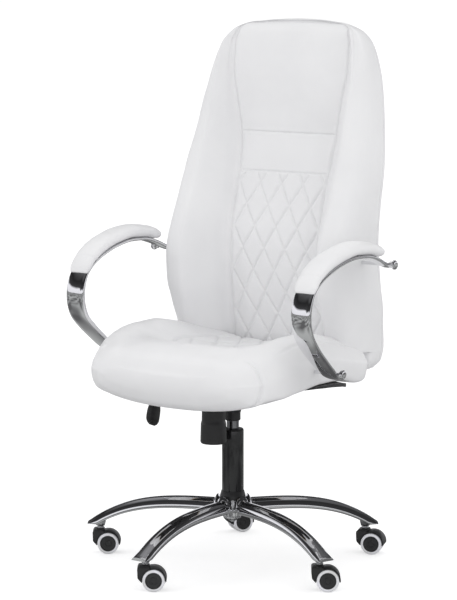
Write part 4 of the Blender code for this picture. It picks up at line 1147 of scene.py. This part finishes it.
def build_lever():
    y, z = -0.004, 0.3945
    slope = math.radians(80)
    down = Vector((-math.cos(slope), 0.0, -math.sin(slope)))
    route = [(-0.0360, 0.0), (-0.1500, 0.0), (-0.1830, -0.0030), (-0.2060, -0.0130), (-0.2190, -0.0280)]
    route = [Vector((x, y, z + rise)) for x, rise in route]
    route.append(route[-1] + down * 0.020)
    smooth = spline(route, [even(12), even(10), even(10), even(8), even(6)])
    bar_radius = 0.0040
    side = Vector((0, 1, 0))
    rings = []
    for i, centre in enumerate(smooth):
        along = (smooth[min(i + 1, len(smooth) - 1)] - smooth[max(i - 1, 0)]).normalized()
        up = side.cross(along).normalized()
        circle = oval(bar_radius, bar_radius, 24, 2)
        rings.append([centre + side * across + up * rise for across, rise in circle])
    piece("lever_bar", loft("lever_bar", rings), "lever", COAT, ("lever_rod",), 40)
    # the paddle: distance along it, half width, half thickness
    stations = (
        (0.0, 0.0090, 0.0070),
        (0.008, 0.0138, 0.0095),
        (0.024, 0.0200, 0.0105),
        (0.046, 0.0215, 0.0100),
        (0.057, 0.0170, 0.0075),
        (0.061, 0.0105, 0.0045),
    )
    rings = []
    for k in range(37):
        along = stations[-1][0] * k / 36
        half_width, half_height = between(stations, along)
        slant = 0.35 * along / stations[-1][0]
        outline = oval(half_width, half_height, 40, 2.4)
        rings.append([Vector((-along - slant * across, across, up)) for across, up in outline])
    mesh = loft("lever_grip", capped(rings, Vector((-0.0012, 0, 0)), 0.003))
    bore = rod("paddle_bore", 0.0043, (0.010, 0, 0), (-0.0104, 0, 0), 24)
    mesh = carved(mesh, [bore])
    mesh.transform(Matrix.Rotation(-slope, 4, "Y"))
    mesh.transform(Matrix.Translation(route[-1] - down * 0.010))
    piece("lever_grip", mesh, "lever", PLASTIC, ("lever_paddle",), 45)


# ---------------------------------------------------------------- casters


def caster_hood_mesh():
    centre = Vector((CASTER_TRAIL, 0.0, WHEEL_RADIUS))
    cover = WHEEL_RADIUS + 0.0035
    arc = []
    for i in range(33):
        angle = math.radians(-4 + 116 * i / 32)
        arc.append((centre.x + cover * math.cos(angle), centre.z + cover * math.sin(angle)))
    block = [(0.0075, 0.0560), (-0.0140, 0.0560), (-0.0180, 0.0525), (-0.0172, 0.0300)]
    block += [(-0.0085, 0.0205), (0.0040, 0.0125), (0.0330, 0.0125)]
    outline = arc + round_corners(block, 0.0030, closed=False, steps=4)
    hood = extruded("caster_hood", outline, 0.0225, 0.0016)
    profile = [(0.0, 0.0580), (0.0085, 0.0580), (0.0095, 0.0550), (0.0095, 0.0400), (0.0, 0.0400)]
    collar = turned("collar", profile, 48, radius=0.0006)
    pocket = WHEEL_RADIUS + 0.0011
    web = Vector((0.0, WHEEL_INNER - 0.0009, 0.0))
    reach = Vector((0.0, 0.040, 0.0))
    axle = Vector((0.0, 0.020, 0.0))
    cuts = [
        rod("pocket_a", pocket, centre + web, centre + reach, 64),
        rod("pocket_b", pocket, centre - reach, centre - web, 64),
        rod("axle_bore", 0.0031, centre - axle, centre + axle, 24),
        rod("stem_seat", 0.0048, (0, 0, 0.0375), (0, 0, 0.0700), 32),
    ]
    return carved(hood, cuts, joined=[collar])


def wheel_meshes():
    """The pale tread ring and the charcoal disc inside it, their outer face towards +Y."""
    inner, outer, radius = WHEEL_INNER, WHEEL_OUTER, WHEEL_RADIUS
    tread = [(0.0186, outer - 0.0004), (0.0194, outer), (radius - 0.0026, outer)]
    tread += [(radius - 0.0007, outer - 0.0012), (radius, outer - 0.0040)]
    tread += [(radius, inner + 0.0020), (radius - 0.0010, inner), (0.0186, inner)]
    disc = [(0.0, outer - 0.0022), (0.0058, outer - 0.0022), (0.0064, outer - 0.0008)]
    disc += [(0.0078, outer - 0.0008), (0.0086, outer - 0.0026), (0.0160, outer - 0.0020)]
    disc += [(0.0170, outer - 0.0006), (0.0184, outer - 0.0006), (0.0184, inner + 0.0008)]
    disc += [(0.0033, inner + 0.0008), (0.0033, inner + 0.0120), (0.0, inner + 0.0120)]
    made = [turned("tread", tread, 96, ring=True, radius=0.0005), turned("disc", disc, 72, radius=0.0004)]
    for mesh in made:
        mesh.transform(Matrix.Rotation(-math.pi / 2, 4, "X"))
    return made


def build_casters():
    hood = caster_hood_mesh()
    tread, disc = wheel_meshes()
    profile = [(0.0, 0.0780), (0.0055, 0.0780), (0.0055, 0.0612), (0.0085, 0.0612)]
    profile += [(0.0085, 0.0585), (0.0045, 0.0585), (0.0045, 0.0380), (0.0, 0.0380)]
    stem = turned("caster_stem", profile, 36, radius=0.0004)
    for index, side in enumerate(SIDES):
        turn = around_column(index)
        place = Vector((math.cos(turn), math.sin(turn), 0.0)) * STEM_CIRCLE
        trail = math.radians(CASTER_TURNS[side])
        set_down = Matrix.Translation(place) @ Matrix.Rotation(trail, 4, "Z")
        on_axle = set_down @ Matrix.Translation((CASTER_TRAIL, 0, WHEEL_RADIUS))
        pin = stem.copy()
        pin.transform(set_down)
        piece("swivel_pin_" + side, pin, "base", STEEL, ("caster_stem_" + side,), 35)
        shell = hood.copy()
        shell.transform(set_down)
        body = "caster_" + side
        piece("wheel_hood_" + side, shell, body, PLASTIC, ("caster_hood_" + side,), 40)
        for letter, turned_about in (("a", 0.0), ("b", math.pi)):
            where = on_axle @ Matrix.Rotation(turned_about, 4, "Z")
            wheel = f"wheel_{letter}_{side}"
            rim, middle = tread.copy(), disc.copy()
            rim.transform(where)
            middle.transform(where)
            piece(f"tread_{letter}_{side}", rim, wheel, TREAD, (wheel,), 35)
            piece(f"hub_disc_{letter}_{side}", middle, wheel, HUB_PLASTIC, (), 35)


# ---------------------------------------------------------------- the whole chair

build_seat()
build_back()
build_rear_panel()
build_under_cover()
build_arms()
build_base()
build_lift()
build_mechanism()
build_lever()
build_casters()

# ---------------------------------------------------------------- floor, light and camera


CHAIR_MIDDLE = (0.0, 0.0, 0.7)


def build_floor():
    mesh = bpy.data.meshes.new("studio_floor")
    bm = bmesh.new()
    bmesh.ops.create_grid(bm, x_segments=4, y_segments=4, size=40.0)
    bm.to_mesh(mesh)
    bm.free()
    mesh.materials.append(stage_white())
    floor = bpy.data.objects.new("studio_floor", mesh)
    floor.location.z = -0.0002
    bpy.context.scene.collection.objects.link(floor)


def area_light(name, size, power, place):
    """A round soft box that looks at the middle of the chair and isn't mirrored in the chrome."""
    light = bpy.data.lights.new(name, "AREA")
    light.shape = "DISK"
    light.size = size
    light.energy = power
    holder = bpy.data.objects.new(name, light)
    holder.location = place
    holder.visible_glossy = False
    holder.rotation_euler = (Vector(CHAIR_MIDDLE) - Vector(place)).to_track_quat("-Z", "Y").to_euler()
    bpy.context.scene.collection.objects.link(holder)


def build_world():
    """A white room; polished metal sees a bright horizon under a dark ceiling, as among soft boxes."""
    world = bpy.data.worlds.new("white_studio")
    world.use_nodes = True
    tree = world.node_tree
    tree.nodes.clear()
    add, link = tree.nodes.new, tree.links.new
    out, mix = add("ShaderNodeOutputWorld"), add("ShaderNodeMixShader")
    room, boxes = add("ShaderNodeBackground"), add("ShaderNodeBackground")
    room.inputs["Color"].default_value = (1.0, 1.0, 1.0, 1.0)
    room.inputs["Strength"].default_value = 1.03
    direction, split = add("ShaderNodeTexCoord"), add("ShaderNodeSeparateXYZ")
    drift = add("ShaderNodeTexNoise")
    drift.inputs["Scale"].default_value = 1.6
    drift.inputs["Detail"].default_value = 1.0
    # height above the horizon, with some drift added, and the brightness seen there
    wander, scaled = add("ShaderNodeMath"), add("ShaderNodeMath")
    wander.operation = "MULTIPLY_ADD"
    wander.inputs[1].default_value = 0.50
    tones = ((0.16, 0.90), (0.36, 1.0), (0.46, 0.05), (0.78, 0.02), (0.92, 0.08), (1.06, 0.12), (1.20, 0.30))
    whole = 1.25
    scaled.operation = "MULTIPLY"
    scaled.inputs[1].default_value = 1 / whole
    contrast = add("ShaderNodeValToRGB")
    while len(contrast.color_ramp.elements) < len(tones):
        contrast.color_ramp.elements.new(1.0)
    for element, (height, tone) in zip(contrast.color_ramp.elements, tones):
        element.position = min(1.0, height / whole)
        element.color = (tone, tone, tone * 1.04, 1.0)
    path = add("ShaderNodeLightPath")
    link(direction.outputs["Generated"], split.inputs["Vector"])
    link(direction.outputs["Generated"], drift.inputs["Vector"])
    link(drift.outputs["Fac"], wander.inputs[0])
    link(split.outputs["Z"], wander.inputs[2])
    link(wander.outputs["Value"], scaled.inputs[0])
    link(scaled.outputs["Value"], contrast.inputs["Fac"])
    link(contrast.outputs["Color"], boxes.inputs["Color"])
    link(path.outputs["Is Glossy Ray"], mix.inputs["Fac"])
    link(room.outputs["Background"], mix.inputs[1])
    link(boxes.outputs["Background"], mix.inputs[2])
    link(mix.outputs["Shader"], out.inputs["Surface"])
    bpy.context.scene.world = world


def build_camera():
    """Stands in front of the chair's left side, a little above its middle, with a long lens."""
    turn, drop, yaw = math.radians(36.155), math.radians(7.586), math.radians(-0.087)
    distance, height, aside = 5.792, 1.3796, -0.00108
    camera = bpy.data.cameras.new("photo_view")
    camera.sensor_width = 36
    camera.lens = 154.46
    camera.clip_end = 100
    holder = bpy.data.objects.new("photo_view", camera)
    bpy.context.scene.collection.objects.link(holder)
    holder.location = (
        aside * math.cos(turn) + distance * math.sin(turn) + COLUMN.x,
        aside * math.sin(turn) - distance * math.cos(turn) + COLUMN.y,
        height,
    )
    direction = Vector((-math.sin(turn - yaw), math.cos(turn - yaw), -math.tan(drop)))
    holder.rotation_euler = direction.to_track_quat("-Z", "Y").to_euler()
    bpy.context.scene.camera = holder


build_floor()
build_world()
area_light("key", 2.4, 16.0, (-2.6, -2.2, 3.6))
area_light("fill", 3.0, 17.0, (3.6, -2.0, 1.3))
build_camera()
bpy.context.scene.view_settings.view_transform = "Standard"
